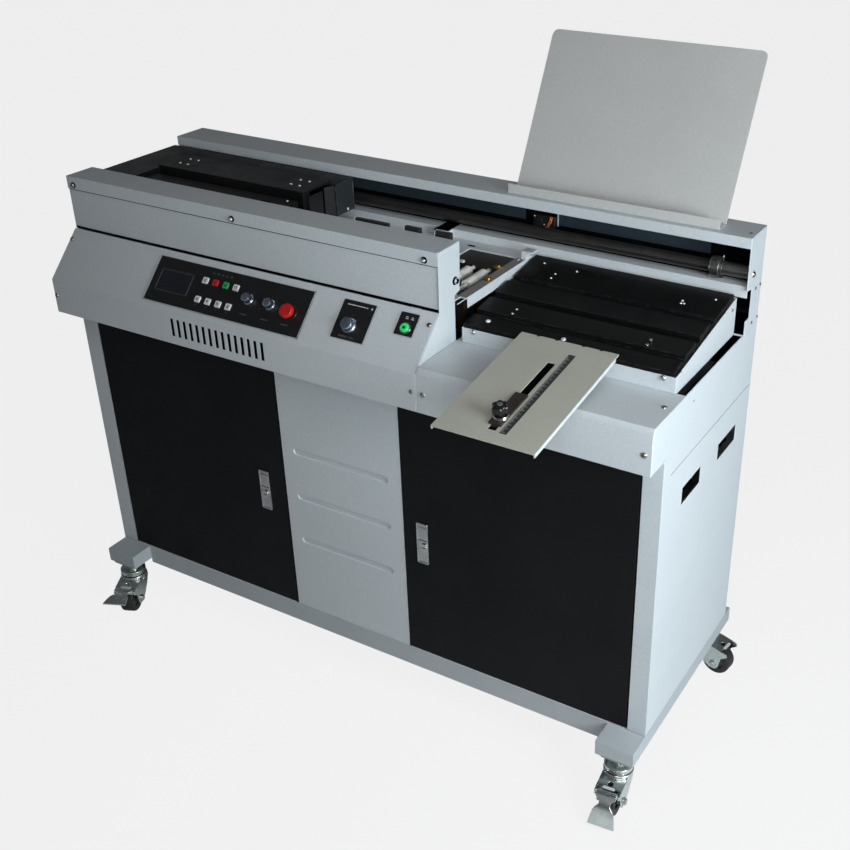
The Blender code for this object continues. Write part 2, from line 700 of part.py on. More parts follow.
def build_front_frame():
    """Front sheet with two door openings, flanges, the middle panel's beads and the hinge pins."""
    filled = [
        box(0, POST_LEFT, 0, SHEET, CLEAR, CONSOLE_BOTTOM - CLEAR),
        box(POST_RIGHT_X, WIDTH, 0, SHEET, CLEAR, CONSOLE_BOTTOM - CLEAR),
        box(MIDDLE_LEFT, MIDDLE_RIGHT, 0, SHEET, CLEAR, LINTEL_TOP),
        box(INNER_LEFT, INNER_RIGHT, 0, SHEET, LINTEL_BOTTOM, LINTEL_TOP),
        box(POST_LEFT - SHEET, POST_RIGHT_X + SHEET, 0, FRAME_FLANGE, LINTEL_BOTTOM, LINTEL_BOTTOM + SHEET),
    ]
    for low in (POST_LEFT - SHEET, MIDDLE_LEFT, MIDDLE_RIGHT - SHEET, POST_RIGHT_X):
        filled.append(box(low, low + SHEET, 0, FRAME_FLANGE, CLEAR, LINTEL_BOTTOM + SHEET))
    frame = boxes("front_frame", GREY_COAT, filled)
    backs = [prism_mesh("back", bead_outline(middle, SHEET), "Y", SHEET / 2, RIB_DEPTH + SHEET)
             for middle in RIB_HEIGHTS]
    beads = [prism_mesh("bead", bead_outline(middle, 0), "Y", -OVERRUN, RIB_DEPTH) for middle in RIB_HEIGHTS]
    combine(frame, "bead_backs", merged_mesh("bead_backs", backs), "UNION")
    combine(frame, "beads", merged_mesh("beads", beads))
    pins = [rod_mesh("pin", PIN_RADIUS, (across, KNUCKLE / 2, 2 * CLEAR),
                     (across, KNUCKLE / 2, LINTEL_BOTTOM + SHEET / 2), 12) for across in hinge_pin_x()]
    combine(frame, "hinge_pins", merged_mesh("hinge_pins", pins), "UNION")
    return frame


def fascia_path():
    """Outer path of the console's folded front, from its bottom flange up the slope."""
    return [(-CLEAR, CONSOLE_BOTTOM), (CONSOLE_FRONT, CONSOLE_BOTTOM),
            (CONSOLE_FRONT, BEND_HEIGHT), (SLOPE_TOP_Y, SLOPE_TOP_Z)]


def shelf_path():
    """Outer path of the shelf's folded sheet, from its bottom flange to its back edge."""
    return [(-CLEAR, CONSOLE_BOTTOM), (CONSOLE_FRONT, CONSOLE_BOTTOM),
            (CONSOLE_FRONT, BEND_HEIGHT), (SHELF_BEND, SHELF_TOP), (SHELF_BACK, SHELF_TOP)]


def build_side_panels():
    """The two side sheets, cut to sit behind the console, the shelf, the beam and the cap."""
    inset = SHEET + CLEAR
    panel_back = DEPTH - inset
    beam_edge = BEAM_FRONT + inset
    under_beam = BEAM_TOP - inset
    lower = [(inset, CLEAR), (inset, CONSOLE_BOTTOM + inset)]
    inside_fascia = offset_path(fascia_path(), inset)
    plate_back = CAP_FRONT + SHEET + CLEAR + SHEET + CLEAR
    left_outline = lower + inside_fascia[1:3] + [
        (plate_back, inside_fascia[3][1]), (plate_back, CAP_TOP - inset),
        (CAP_BACK - inset, CAP_TOP - inset), (CAP_BACK - inset, LEFT_PANEL_TOP),
        (beam_edge, LEFT_PANEL_TOP), (beam_edge, under_beam), (panel_back, under_beam), (panel_back, CLEAR)]
    prism("left_side_panel", GREY_COAT, left_outline, "X", 0, SHEET)
    inside_shelf = offset_path(shelf_path(), inset)
    back_of_shelf = SHELF_BACK + CLEAR
    right_outline = lower + inside_shelf[1:4] + [
        (back_of_shelf, SHELF_TOP - inset), (back_of_shelf, SIDE_STEP_LOW),
        (SIDE_STEP_BACK, SIDE_STEP_LOW), (SIDE_STEP_BACK, SIDE_STEP_HIGH),
        (beam_edge, SIDE_STEP_CORNER), (beam_edge, under_beam), (panel_back, under_beam),
        (panel_back, CLEAR)]
    right_panel = prism("right_side_panel", GREY_COAT, right_outline, "X", WIDTH - SHEET, WIDTH)
    windows = [mesh_of_boxes("window", [box(WIDTH - SHEET - OVERRUN, WIDTH + OVERRUN, *span,
                                            WINDOW_BOTTOM, WINDOW_TOP)])
               for span in (WINDOW_FRONT, WINDOW_BACK)]
    combine(right_panel, "side_windows", merged_mesh("side_windows", windows))


def build_rear_panel():
    """Sheet that closes the back, behind the beam's back lip."""
    back = DEPTH - SHEET - CLEAR
    boxes("rear_panel", GREY_COAT, [box(INNER_LEFT, INNER_RIGHT, back - SHEET, back, CLEAR,
                                        BEAM_TOP - SHEET - CLEAR)])


def build_doors():
    """Two sheet doors, each with a bored knuckle round its hinge pin."""
    left_pin, right_pin = hinge_pin_x()
    half = KNUCKLE / 2
    for name, pin, free_edge in (("left_door", left_pin, MIDDLE_LEFT - DOOR_GAP),
                                 ("right_door", right_pin, MIDDLE_RIGHT + DOOR_GAP)):
        side = 1 if free_edge > pin else -1
        edge = abs(free_edge - pin)
        outline = [(-half + KNUCKLE_CHAMFER, -half), (edge, -half), (edge, DOOR_DEPTH - half),
                   (edge - SHEET, DOOR_DEPTH - half), (edge - SHEET, SHEET - half),
                   (half, SHEET - half), (half, half), (-half, half), (-half, -half + KNUCKLE_CHAMFER)]
        outline = [(side * across, depth) for across, depth in outline]
        door = prism(name, BLACK_COAT, outline, "Z", DOOR_BOTTOM, DOOR_TOP, (pin, half, 0))
        bore = rod_mesh("bore", PIN_RADIUS + CLEAR, (0, 0, DOOR_BOTTOM - OVERRUN),
                        (0, 0, DOOR_TOP + OVERRUN), 12)
        combine(door, f"{name}_bore", bore, "DIFFERENCE", (pin, half, 0))
        lock = lock_place(side)
        barrel = rod_mesh("barrel", LOCK_RADIUS + CLEAR, (0, -OVERRUN, 0), (0, SHEET + OVERRUN, 0))
        combine(door, f"{name}_lock_hole", barrel, "DIFFERENCE", lock)


def lock_place(side):
    """Where a door lock's axis meets the door plane."""
    if side > 0:
        return MIDDLE_LEFT - LOCK_EDGE_LEFT, 0, LOCK_HEIGHT
    return MIDDLE_RIGHT + LOCK_EDGE_RIGHT, 0, LOCK_HEIGHT


def build_locks():
    """A turning barrel in each door with a cam that can reach behind the middle panel's flange."""
    cam_start = FRAME_FLANGE + CLEAR
    profile = ((0, -LOCK_PROUD), (LOCK_HEAD, -LOCK_PROUD), (LOCK_HEAD, -CLEAR), (LOCK_RADIUS, -CLEAR),
               (LOCK_RADIUS, SHEET + CLEAR), (LOCK_NUT, SHEET + CLEAR), (LOCK_NUT, SHEET + LOCK_NUT_DEPTH),
               (LOCK_RADIUS, SHEET + LOCK_NUT_DEPTH), (LOCK_RADIUS, cam_start + CAM_SHEET),
               (0, cam_start + CAM_SHEET))
    half = CAM_WIDTH / 2
    for name, side in (("left_door_lock", 1), ("right_door_lock", -1)):
        mesh = turned_mesh(name, profile)
        mesh.transform(Matrix.Rotation(-math.pi / 2, 4, "X"))
        lock = add_object(name, mesh, ZINC, lock_place(side))
        cam = mesh_of_boxes("cam", [box(-half, half, cam_start, cam_start + CAM_SHEET - STEP_IN,
                                        -LOCK_NUT, CAM_LENGTH)])
        combine(lock, f"{name}_cam", cam, "UNION", lock_place(side))


def slope_point(across, up, out=0.0):
    """A point on the console's slope: across in x, up the slope, and out from it."""
    return (across, CONSOLE_FRONT + up * math.cos(SLOPE) - out * math.sin(SLOPE),
            BEND_HEIGHT + up * math.sin(SLOPE) + out * math.cos(SLOPE))


def control_holes():
    """Centre on the slope and radius of every round hole for a button or a spindle."""
    holes = [((column, DIAL_ROW), SPINDLE_RADIUS + HOLE_PLAY) for column in DIAL_COLUMNS]
    holes.append(((STOP_COLUMN, STOP_ROW), STOP_STEM + HOLE_PLAY))
    holes.append(((SELECTOR_COLUMN, SELECTOR_ROW), SPINDLE_RADIUS + HOLE_PLAY))
    holes.append(((POWER_COLUMN, POWER_ROW), POWER_RADIUS + HOLE_PLAY))
    return holes


def key_outline(half, height):
    """A rounded square round the origin at one height, with three points to each corner."""
    corner = KEY_CORNER * half / (KEY_SIDE / 2)
    points = []
    for turn in range(4):
        middle = math.pi / 4 + turn * math.pi / 2
        centre_x = math.copysign(half - corner, math.cos(middle))
        centre_y = math.copysign(half - corner, math.sin(middle))
        for share in KEY_CORNER_SHARES:
            angle = (turn + share) * math.pi / 2
            points.append((centre_x + corner * math.cos(angle), centre_y + corner * math.sin(angle), height))
    return points


def lofted_mesh(name, rings):
    """A closed body through rings of points, from the lowest to the highest, capped at both ends."""
    built = bmesh.new()
    loops = [[built.verts.new(point) for point in ring] for ring in rings]
    for low, high in zip(loops, loops[1:]):
        for index in range(len(low)):
            after = (index + 1) % len(low)
            built.faces.new((low[index], low[after], high[after], high[index]))
    built.faces.new(list(reversed(loops[0])))
    built.faces.new(loops[-1])
    return finish_mesh(name, built)


def hole_tools(name):
    """One cutter with all the control holes, square to the slope."""
    tools = []
    for (across, up), radius in control_holes():
        tools.append(rod_mesh("hole", radius, slope_point(across, up, -SHEET - OVERRUN),
                              slope_point(across, up, PANEL_SHEET + OVERRUN), 20))
    half = KEY_SIDE / 2 + HOLE_PLAY
    for row in BUTTON_ROWS:
        for column in BUTTON_COLUMNS:
            square = lofted_mesh("key_hole", [key_outline(half, -SHEET - OVERRUN),
                                              key_outline(half, PANEL_SHEET + OVERRUN)])
            square.transform(Matrix.Translation(slope_point(column, row)) @ Matrix.Rotation(SLOPE, 4, "X"))
            tools.append(square)
    return merged_mesh(name, tools)


def build_console():
    """Folded front, upper plate, cap rail and right end plate of the console."""
    end_left = CONSOLE_WIDTH - SHEET
    sheet_right = end_left - CLEAR
    fascia = folded("console_fascia", GREY_COAT, fascia_path(), 0, sheet_right)
    vents = []
    for index in range(VENT_COUNT):
        middle = VENT_START + index * VENT_PITCH
        vents.append(mesh_of_boxes("vent", [box(middle - VENT_WIDTH / 2, middle + VENT_WIDTH / 2,
                                                CONSOLE_FRONT - OVERRUN, CONSOLE_FRONT + SHEET + OVERRUN,
                                                VENT_BOTTOM, VENT_TOP)]))
    combine(fascia, "console_vents", merged_mesh("console_vents", vents))
    combine(fascia, "fascia_holes", hole_tools("fascia_holes"))
    plate_front = CAP_FRONT + SHEET + CLEAR
    boxes("console_upper_plate", GREY_COAT, [box(0, sheet_right, plate_front, plate_front + SHEET,
                                                 PLATE_BOTTOM, PLATE_TOP)])
    cap_path = [(CAP_FRONT, CAP_BOTTOM), (CAP_FRONT, CAP_TOP), (CAP_BACK, CAP_TOP), (CAP_BACK, CAP_BOTTOM)]
    folded("console_cap_rail", GREY_COAT, cap_path, 0, sheet_right)
    above_lintel = LINTEL_TOP + CLEAR
    outline = [(CONSOLE_FRONT, CONSOLE_BOTTOM), (-CLEAR, CONSOLE_BOTTOM), (-CLEAR, above_lintel),
               (END_STEP_Y, above_lintel), (END_STEP_Y, END_STEP_Z), (END_BACK_Y, END_BACK_Z),
               (CAP_BACK, CAP_BOTTOM), (CAP_BACK, CAP_TOP), (CAP_FRONT, CAP_TOP),
               (CAP_FRONT, SLOPE_TOP_Z), (CONSOLE_FRONT, BEND_HEIGHT)]
    prism("console_end_plate", GREY_COAT, outline, "X", end_left, CONSOLE_WIDTH)


def build_controls():
    """Control panel with its buttons, dials, stop button, selector and power button."""
    panel = boxes("control_panel", BLACK_PLASTIC,
                  [box(PANEL_LEFT, PANEL_RIGHT, PANEL_LOW, PANEL_HIGH, CLEAR, CLEAR + PANEL_SHEET)],
                  (), (0, CONSOLE_FRONT, BEND_HEIGHT), (SLOPE, 0, 0))
    combine(panel, "panel_holes", hole_tools("panel_holes"))
    behind = -SHEET - CLEAR
    front = PANEL_SHEET + CLEAR

    def key_rings():
        half = KEY_SIDE / 2
        levels = ((half + KEY_FLANGE, behind - BUTTON_FLANGE_DEPTH), (half + KEY_FLANGE, behind),
                  (half, behind), (half, front + KEY_PROUD * SIDE_SHARE),
                  (half * FACE_SHARE, front + KEY_PROUD))
        return [key_outline(size, height) for size, height in levels]

    def button_profile(radius, proud):
        flange = radius + POWER_FLANGE
        return ((0, behind - BUTTON_FLANGE_DEPTH), (flange, behind - BUTTON_FLANGE_DEPTH), (flange, behind),
                (radius, behind), (radius, front + proud * SIDE_SHARE), (radius * FACE_SHARE, front + proud),
                (0, front + proud))

    def knob_profile(radius, height, spindle, standoff):
        foot = front + standoff
        return ((0, behind - BUTTON_FLANGE_DEPTH), (BUTTON_FLANGE, behind - BUTTON_FLANGE_DEPTH),
                (BUTTON_FLANGE, behind), (spindle, behind), (spindle, foot), (radius, foot),
                (radius, foot + height * SIDE_SHARE), (radius * FACE_SHARE, foot + height),
                (0, foot + height))

    colours = {(1, 1): RED_PLASTIC, (1, 2): GREEN_PLASTIC}
    for row, up in enumerate(BUTTON_ROWS):
        for column, across in enumerate(BUTTON_COLUMNS):
            name = f"{'upper' if row else 'lower'}_button_{column + 1}"
            mesh = lofted_mesh(name, key_rings())
            add_object(name, mesh, colours.get((row, column), WHITE_PLASTIC), slope_point(across, up),
                       (SLOPE, 0, 0))
    for name, across in zip(("left_dial", "right_dial"), DIAL_COLUMNS):
        mesh = turned_mesh(name, knob_profile(DIAL_RADIUS, DIAL_HEIGHT, SPINDLE_RADIUS, CLEAR), 20)
        add_object(name, mesh, ZINC, slope_point(across, DIAL_ROW), (SLOPE, 0, 0))
    stop = turned_mesh("stop_button", knob_profile(STOP_RADIUS, STOP_HEIGHT, STOP_STEM, STOP_STANDOFF), 24)
    add_object("stop_button", stop, RED_PLASTIC, slope_point(STOP_COLUMN, STOP_ROW), (SLOPE, 0, 0))
    selector = turned_mesh("selector_knob", knob_profile(SELECTOR_RADIUS, SELECTOR_HEIGHT, SPINDLE_RADIUS,
                                                         CLEAR), 24)
    add_object("selector_knob", selector, ZINC, slope_point(SELECTOR_COLUMN, SELECTOR_ROW), (SLOPE, 0, 0))
    power = turned_mesh("power_button", button_profile(POWER_RADIUS, POWER_PROUD), 20)
    add_object("power_button", power, GREEN_PLASTIC, slope_point(POWER_COLUMN, POWER_ROW), (SLOPE, 0, 0))


def build_shelf():
    """The lower right shelf, folded down at its front and open beside the cover table's tray."""
    shelf = folded("lower_shelf", GREY_COAT, shelf_path(), CONSOLE_WIDTH + CLEAR, WIDTH)
    slot = mesh_of_boxes("slot", [box(TRAY_RIGHT + CLEAR, WIDTH - SHELF_STRIP,
                                      SHELF_SLOT_FRONT, SHELF_SLOT_BACK,
                                      SHELF_TOP - SHEET - OVERRUN, SHELF_TOP + OVERRUN)])
    combine(shelf, "shelf_slot", slot)


def build_beam_and_rest():
    """Rear beam across the top of the side panels, and the tilted paper rest that stands on it."""
    beam_path = [(BEAM_FRONT, BEAM_BOTTOM), (BEAM_FRONT, BEAM_TOP), (DEPTH, BEAM_TOP), (DEPTH, BEAM_BOTTOM)]
    folded("rear_beam", GREY_COAT, beam_path, 0, WIDTH)
    along_sheet = Vector((math.sin(REST_TILT), math.cos(REST_TILT))) * REST_LENGTH
    top = Vector((REST_FOLD, REST_BOTTOM)) + along_sheet
    rest_path = [tuple(top), (REST_FOLD, REST_BOTTOM), (REST_FRONT, REST_BOTTOM),
                 (REST_FRONT, REST_BOTTOM + REST_LIP)]
    rest = folded("paper_rest", BEIGE_COAT, rest_path, REST_LEFT, REST_RIGHT)
    corners = []
    for edge, inward in ((REST_LEFT, 1), (REST_RIGHT, -1)):
        arc = [(edge - inward * OVERRUN, REST_LENGTH + OVERRUN)]
        arc.append((edge + inward * REST_CORNER, REST_LENGTH + OVERRUN))
        for step in range(5):
            angle = math.pi / 2 * step / 4
            arc.append((edge + inward * REST_CORNER * (1 - math.sin(angle)),
                        REST_LENGTH - REST_CORNER * (1 - math.cos(angle))))
        arc.append((edge - inward * OVERRUN, REST_LENGTH - REST_CORNER))
        corners.append(prism_mesh("corner", arc, "Y", -OVERRUN, SHEET + OVERRUN))
    combine(rest, "rest_corners", merged_mesh("rest_corners", corners), "DIFFERENCE",
            (0, REST_FOLD, REST_BOTTOM), (-REST_TILT, 0, 0))


def build_guides():
    """Round guide shaft with its end collar, and the slide rail under it."""
    shaft = rod_mesh("guide_shaft", SHAFT_RADIUS, (INNER_LEFT, SHAFT_Y, SHAFT_Z),
                     (INNER_RIGHT, SHAFT_Y, SHAFT_Z))
    add_object("guide_shaft", shaft, DARK_STEEL)
    bore = SHAFT_RADIUS + SHAFT_PLAY
    collar = turned_mesh("shaft_collar", ((bore, 0), (COLLAR_RADIUS, 0), (COLLAR_RADIUS, COLLAR_LENGTH),
                                          (bore, COLLAR_LENGTH)))
    collar.transform(Matrix.Rotation(math.pi / 2, 4, "Y"))
    add_object("shaft_collar", collar, DARK_STEEL, (COLLAR_RIGHT - COLLAR_LENGTH, SHAFT_Y, SHAFT_Z))
    web = SHELF_BACK
    ledge_top = DECK_HEIGHT - DECK_SHEET - CLEAR
    boxes("slide_rail", GREY_COAT, [
        box(INNER_LEFT, INNER_RIGHT, web, web + RAIL_WIDTH, RAIL_TOP - SHEET, RAIL_TOP),
        box(INNER_LEFT, INNER_RIGHT, web, web + SHEET, ledge_top - SHEET, RAIL_TOP),
        box(INNER_LEFT, LEDGE_RIGHT, web - LEDGE_DEPTH, web + SHEET, ledge_top - SHEET, ledge_top)])


def build_carriage():
    """Carriage on the shaft with its fixed jaw, and the moving jaw with its top bar."""
    box_front = CARRIAGE_BACK - BACK_BOX_DEPTH
    rail_clear = RAIL_TOP + CLEAR
    filled = [
        box(CARRIAGE_LEFT, CARRIAGE_RIGHT, box_front, CARRIAGE_BACK, CARRIAGE_BOTTOM, CARRIAGE_TOP),
        box(CARRIAGE_LEFT, LEFT_BLOCK_RIGHT, FIXED_JAW_FRONT, box_front, LEFT_BLOCK_BOTTOM, CARRIAGE_TOP),
        box(CARRIAGE_LEFT, FIXED_JAW_RIGHT, FIXED_JAW_FRONT, FIXED_JAW_FACE,
            LEFT_BLOCK_BOTTOM, FIXED_JAW_TOP),
        box(LEFT_BLOCK_RIGHT - WALL, FIXED_JAW_RIGHT, FIXED_JAW_FRONT, FIXED_JAW_FACE, CARRIAGE_BOTTOM,
            FIXED_JAW_TOP)]
    opened = [
        box(CARRIAGE_LEFT + WALL, CARRIAGE_RIGHT - WALL, box_front + WALL, CARRIAGE_BACK - WALL,
            CARRIAGE_BOTTOM - OVERRUN, CARRIAGE_TOP - WALL),
        box(CARRIAGE_LEFT + WALL, LEFT_BLOCK_RIGHT - WALL, FIXED_JAW_FRONT + WALL, box_front,
            LEFT_BLOCK_BOTTOM - OVERRUN, CARRIAGE_TOP - WALL),
        box(LEFT_BLOCK_RIGHT, FIXED_JAW_RIGHT - WALL, FIXED_JAW_FRONT + WALL,
            FIXED_JAW_FACE - FIXED_JAW_PLATE, CARRIAGE_BOTTOM - OVERRUN, FIXED_JAW_TOP - WALL)]
    housing = boxes("carriage_housing", BLACK_COAT, filled, opened)
    bushes = [mesh_of_boxes("bush", [box(left, left + BUSH_LENGTH, CARRIAGE_BACK - WALL / 2, BUSH_BACK,
                                         rail_clear, BUSH_TOP)]) for left in (BUSH_LEFT, BUSH_RIGHT)]
    combine(housing, "bushes", merged_mesh("bushes", bushes), "UNION")
    bores = [rod_mesh("bore", SHAFT_RADIUS + SHAFT_PLAY, (left - OVERRUN, SHAFT_Y, SHAFT_Z),
                      (left + BUSH_LENGTH + OVERRUN, SHAFT_Y, SHAFT_Z)) for left in (BUSH_LEFT, BUSH_RIGHT)]
    combine(housing, "bush_bores", merged_mesh("bush_bores", bores))
    holes = [rod_mesh("hole", JAW_ROD_RADIUS + CLEAR, (across, box_front - OVERRUN, JAW_ROD_HEIGHT),
                      (across, box_front + WALL + OVERRUN, JAW_ROD_HEIGHT), 16) for across in JAW_RODS]
    combine(housing, "jaw_rod_holes", merged_mesh("jaw_rod_holes", holes))
    jaw_front = FIXED_JAW_FACE + CLAMP_GAP
    jaw = boxes("clamp_jaw", BLACK_COAT, [box(JAW_LEFT, JAW_RIGHT, jaw_front, jaw_front + JAW_PLATE,
                                              JAW_BOTTOM, CARRIAGE_TOP)])
    rod_end = jaw_front + JAW_PLATE + JAW_ROD_REACH
    rods = [rod_mesh("rod", JAW_ROD_RADIUS, (across, jaw_front + JAW_PLATE / 2, JAW_ROD_HEIGHT),
                     (across, rod_end, JAW_ROD_HEIGHT), 16) for across in JAW_RODS]
    combine(jaw, "jaw_rods", merged_mesh("jaw_rods", rods), "UNION")
    bar_bottom = CARRIAGE_TOP + CLEAR
    boxes("clamp_bar", BLACK_COAT, [box(BAR_LEFT, JAW_RIGHT, jaw_front, jaw_front + BAR_DEPTH,
                                        bar_bottom, bar_bottom + BAR_THICKNESS)])


def build_deck():
    """Deck sheet behind the console, with openings over the milling cutter and the glue tank."""
    front = CAP_FRONT + 2 * (SHEET + CLEAR)
    back = SHELF_BACK - CLEAR - CLEAR
    low = DECK_HEIGHT - DECK_SHEET
    half = MILL_OPENING / 2
    end_plate_left = CONSOLE_WIDTH - SHEET - CLEAR
    boxes("deck_plate", GREY_COAT, [
        box(INNER_LEFT, end_plate_left, front, back, low, DECK_HEIGHT),
        box(end_plate_left, DECK_RIGHT, CAP_BACK + SHEET, back, low, DECK_HEIGHT),
        box(DECK_RIGHT - SHEET, DECK_RIGHT, CAP_BACK + SHEET, back - LEDGE_DEPTH,
            low - DECK_LIP, DECK_HEIGHT),
    ], [
        box(MILL_X - half, MILL_X + half, BOOK_Y - half, BOOK_Y + half,
            low - OVERRUN, DECK_HEIGHT + OVERRUN),
        box(GLUE_LEFT, GLUE_RIGHT, GLUE_FRONT, GLUE_BACK, low - OVERRUN, DECK_HEIGHT + OVERRUN)])


def build_milling():
    """Milling cutter on its motor, which hangs under the deck."""
    deck_under = DECK_HEIGHT - DECK_SHEET
    plate_top = deck_under - CLEAR
    cutter_top = DECK_HEIGHT + CUTTER_PROUD
    cutter_low = cutter_top - CUTTER_THICKNESS
    shaft_foot = MOTOR_TOP + CLEAR
    cutter = turned_mesh("milling_cutter", ((0, shaft_foot), (HUB_RADIUS, shaft_foot),
                                            (HUB_RADIUS, cutter_low),
                                            (CUTTER_RADIUS, cutter_low), (CUTTER_RADIUS, cutter_top),
                                            (HUB_RADIUS, cutter_top), (0, cutter_top)), 32)
    add_object("milling_cutter", cutter, POLISHED, (MILL_X, BOOK_Y, 0))
    half = MOTOR_PLATE / 2
    inner = MILL_OPENING / 2
    filled = [box(-half, half, -half, half, plate_top - WALL, plate_top),
              box(-half, half, -half, half, MOTOR_TOP - WALL, MOTOR_TOP)]
    for side_x in (-half, half - MOTOR_POST):
        for side_y in (-half, half - MOTOR_POST):
            filled.append(box(side_x, side_x + MOTOR_POST, side_y, side_y + MOTOR_POST,
                              MOTOR_TOP - WALL, plate_top))
    opened = [box(-inner, inner, -inner, inner, plate_top - WALL - OVERRUN / 4, plate_top + OVERRUN)]
    motor = boxes("milling_motor", DARK_STEEL, filled, opened, (MILL_X, BOOK_Y, 0))
    can = rod_mesh("can", MOTOR_RADIUS, (0, 0, MOTOR_TOP - MOTOR_LENGTH), (0, 0, MOTOR_TOP - WALL / 2))
    combine(motor, "motor_can", can, "UNION", (MILL_X, BOOK_Y, 0))


def build_glue_station():
    """Glue tank under the deck with two rollers in it."""
    rim_top = DECK_HEIGHT - DECK_SHEET - CLEAR
    boxes("glue_tank", DARK_STEEL, [
        box(TANK_LEFT, TANK_RIGHT, TANK_FRONT, TANK_BACK, TANK_BOTTOM, rim_top),
        box(GLUE_LEFT - TANK_RIM, GLUE_RIGHT + TANK_RIM, GLUE_FRONT - TANK_RIM, GLUE_BACK + TANK_RIM,
            rim_top - WALL, rim_top),
    ], [
        box(TANK_LEFT + WALL, TANK_RIGHT - WALL, TANK_FRONT + WALL, TANK_BACK - WALL,
            TANK_BOTTOM + WALL, rim_top + OVERRUN)])
    axle_start = TANK_FRONT + WALL + CLEAR
    axle_end = TANK_BACK - WALL - CLEAR
    height = DECK_HEIGHT + ROLLER_PROUD - ROLLER_RADIUS
    start = BOOK_Y - ROLLER_LENGTH / 2 - axle_start
    end = start + ROLLER_LENGTH
    total = axle_end - axle_start
    profile = ((0, 0), (ROLLER_AXLE, 0), (ROLLER_AXLE, start), (ROLLER_RADIUS, start), (ROLLER_RADIUS, end),
               (ROLLER_AXLE, end), (ROLLER_AXLE, total), (0, total))
    for name, across in zip(("left_glue_roller", "right_glue_roller"), ROLLER_COLUMNS):
        roller = turned_mesh(name, profile)
        roller.transform(Matrix.Rotation(-math.pi / 2, 4, "X"))
        add_object(name, roller, WHITE_ROLLER, (across, axle_start, height))


def build_machinery():
    """Carriage drive motor on the back panel and the electrical enclosure on the floor pan."""
    back = DEPTH - 2 * (SHEET + CLEAR)
    middle_x = DRIVE_LEFT + DRIVE_WIDTH / 2
    middle_y = back - DRIVE_DEPTH / 2
    motor = boxes("drive_motor", DARK_STEEL, [box(DRIVE_LEFT, DRIVE_LEFT + DRIVE_WIDTH,
                                                  back - DRIVE_DEPTH, back,
                                                  DRIVE_BOTTOM, DRIVE_BOTTOM + DRIVE_HEIGHT)])
    top = DRIVE_BOTTOM + DRIVE_HEIGHT
    shaft = rod_mesh("shaft", DRIVE_SHAFT_RADIUS, (middle_x, middle_y, top - WALL),
                     (middle_x, middle_y, top + DRIVE_SHAFT_LENGTH), 16)
    combine(motor, "drive_shaft", shaft, "UNION")
    boxes("electrical_box", GREY_COAT,
          [box(BOX_LEFT, BOX_LEFT + BOX_WIDTH, BOX_FRONT, BOX_BACK, CLEAR, BOX_HEIGHT)],
          [box(BOX_LEFT + SHEET, BOX_LEFT + BOX_WIDTH - SHEET, BOX_FRONT - OVERRUN, BOX_BACK - SHEET,
               CLEAR + SHEET, BOX_HEIGHT - SHEET)])


def build_cover_table():
    """Tray on the shelf, the tilted cover table with its fixed nip jaw, and the moving nip jaw."""
    rise = math.tan(TRAY_TILT)
    floor = SHELF_TOP + CLEAR
    back_height = TRAY_HEIGHT + rise * (TRAY_BACK - TRAY_FRONT)
    outline = [(TRAY_FRONT, floor), (TRAY_BACK, floor), (TRAY_BACK, back_height), (TRAY_FRONT, TRAY_HEIGHT)]
    tray = prism("table_tray", GREY_COAT, outline, "X", TRAY_LEFT, TRAY_RIGHT)
    inside = mesh_of_boxes("inside", [box(TRAY_LEFT + SHEET, TRAY_RIGHT - SHEET, TRAY_FRONT + SHEET,
                                          TRAY_BACK - SHEET, floor + SHEET, back_height + OVERRUN)])
    combine(tray, "tray_inside", inside)
    place = (0, TRAY_FRONT, TRAY_HEIGHT)
    turn = (TRAY_TILT, 0, 0)
    left = TRAY_LEFT + TABLE_MARGIN
    right = TRAY_RIGHT - TABLE_MARGIN
    boxes("cover_table", BLACK_COAT, [
        box(left, right, 0, TABLE_LENGTH, CLEAR, TABLE_PLATE),
        box(left, right, 0, STRIP_DEPTH, CLEAR, STRIP_TOP),
        box(left, right, NIP_FACE - NIP_DEPTH, NIP_FACE, CLEAR, NIP_TOP),
        box(left, right, BACK_PLATE_START, TABLE_LENGTH, CLEAR, BACK_PLATE_TOP)], (), place, turn)
    nip_start = NIP_FACE + NIP_GAP
    boxes("nip_jaw", BLACK_COAT, [box(left, right, nip_start, nip_start + NIP_DEPTH, TABLE_PLATE + CLEAR,
                                      NIP_TOP)], (), place, turn)


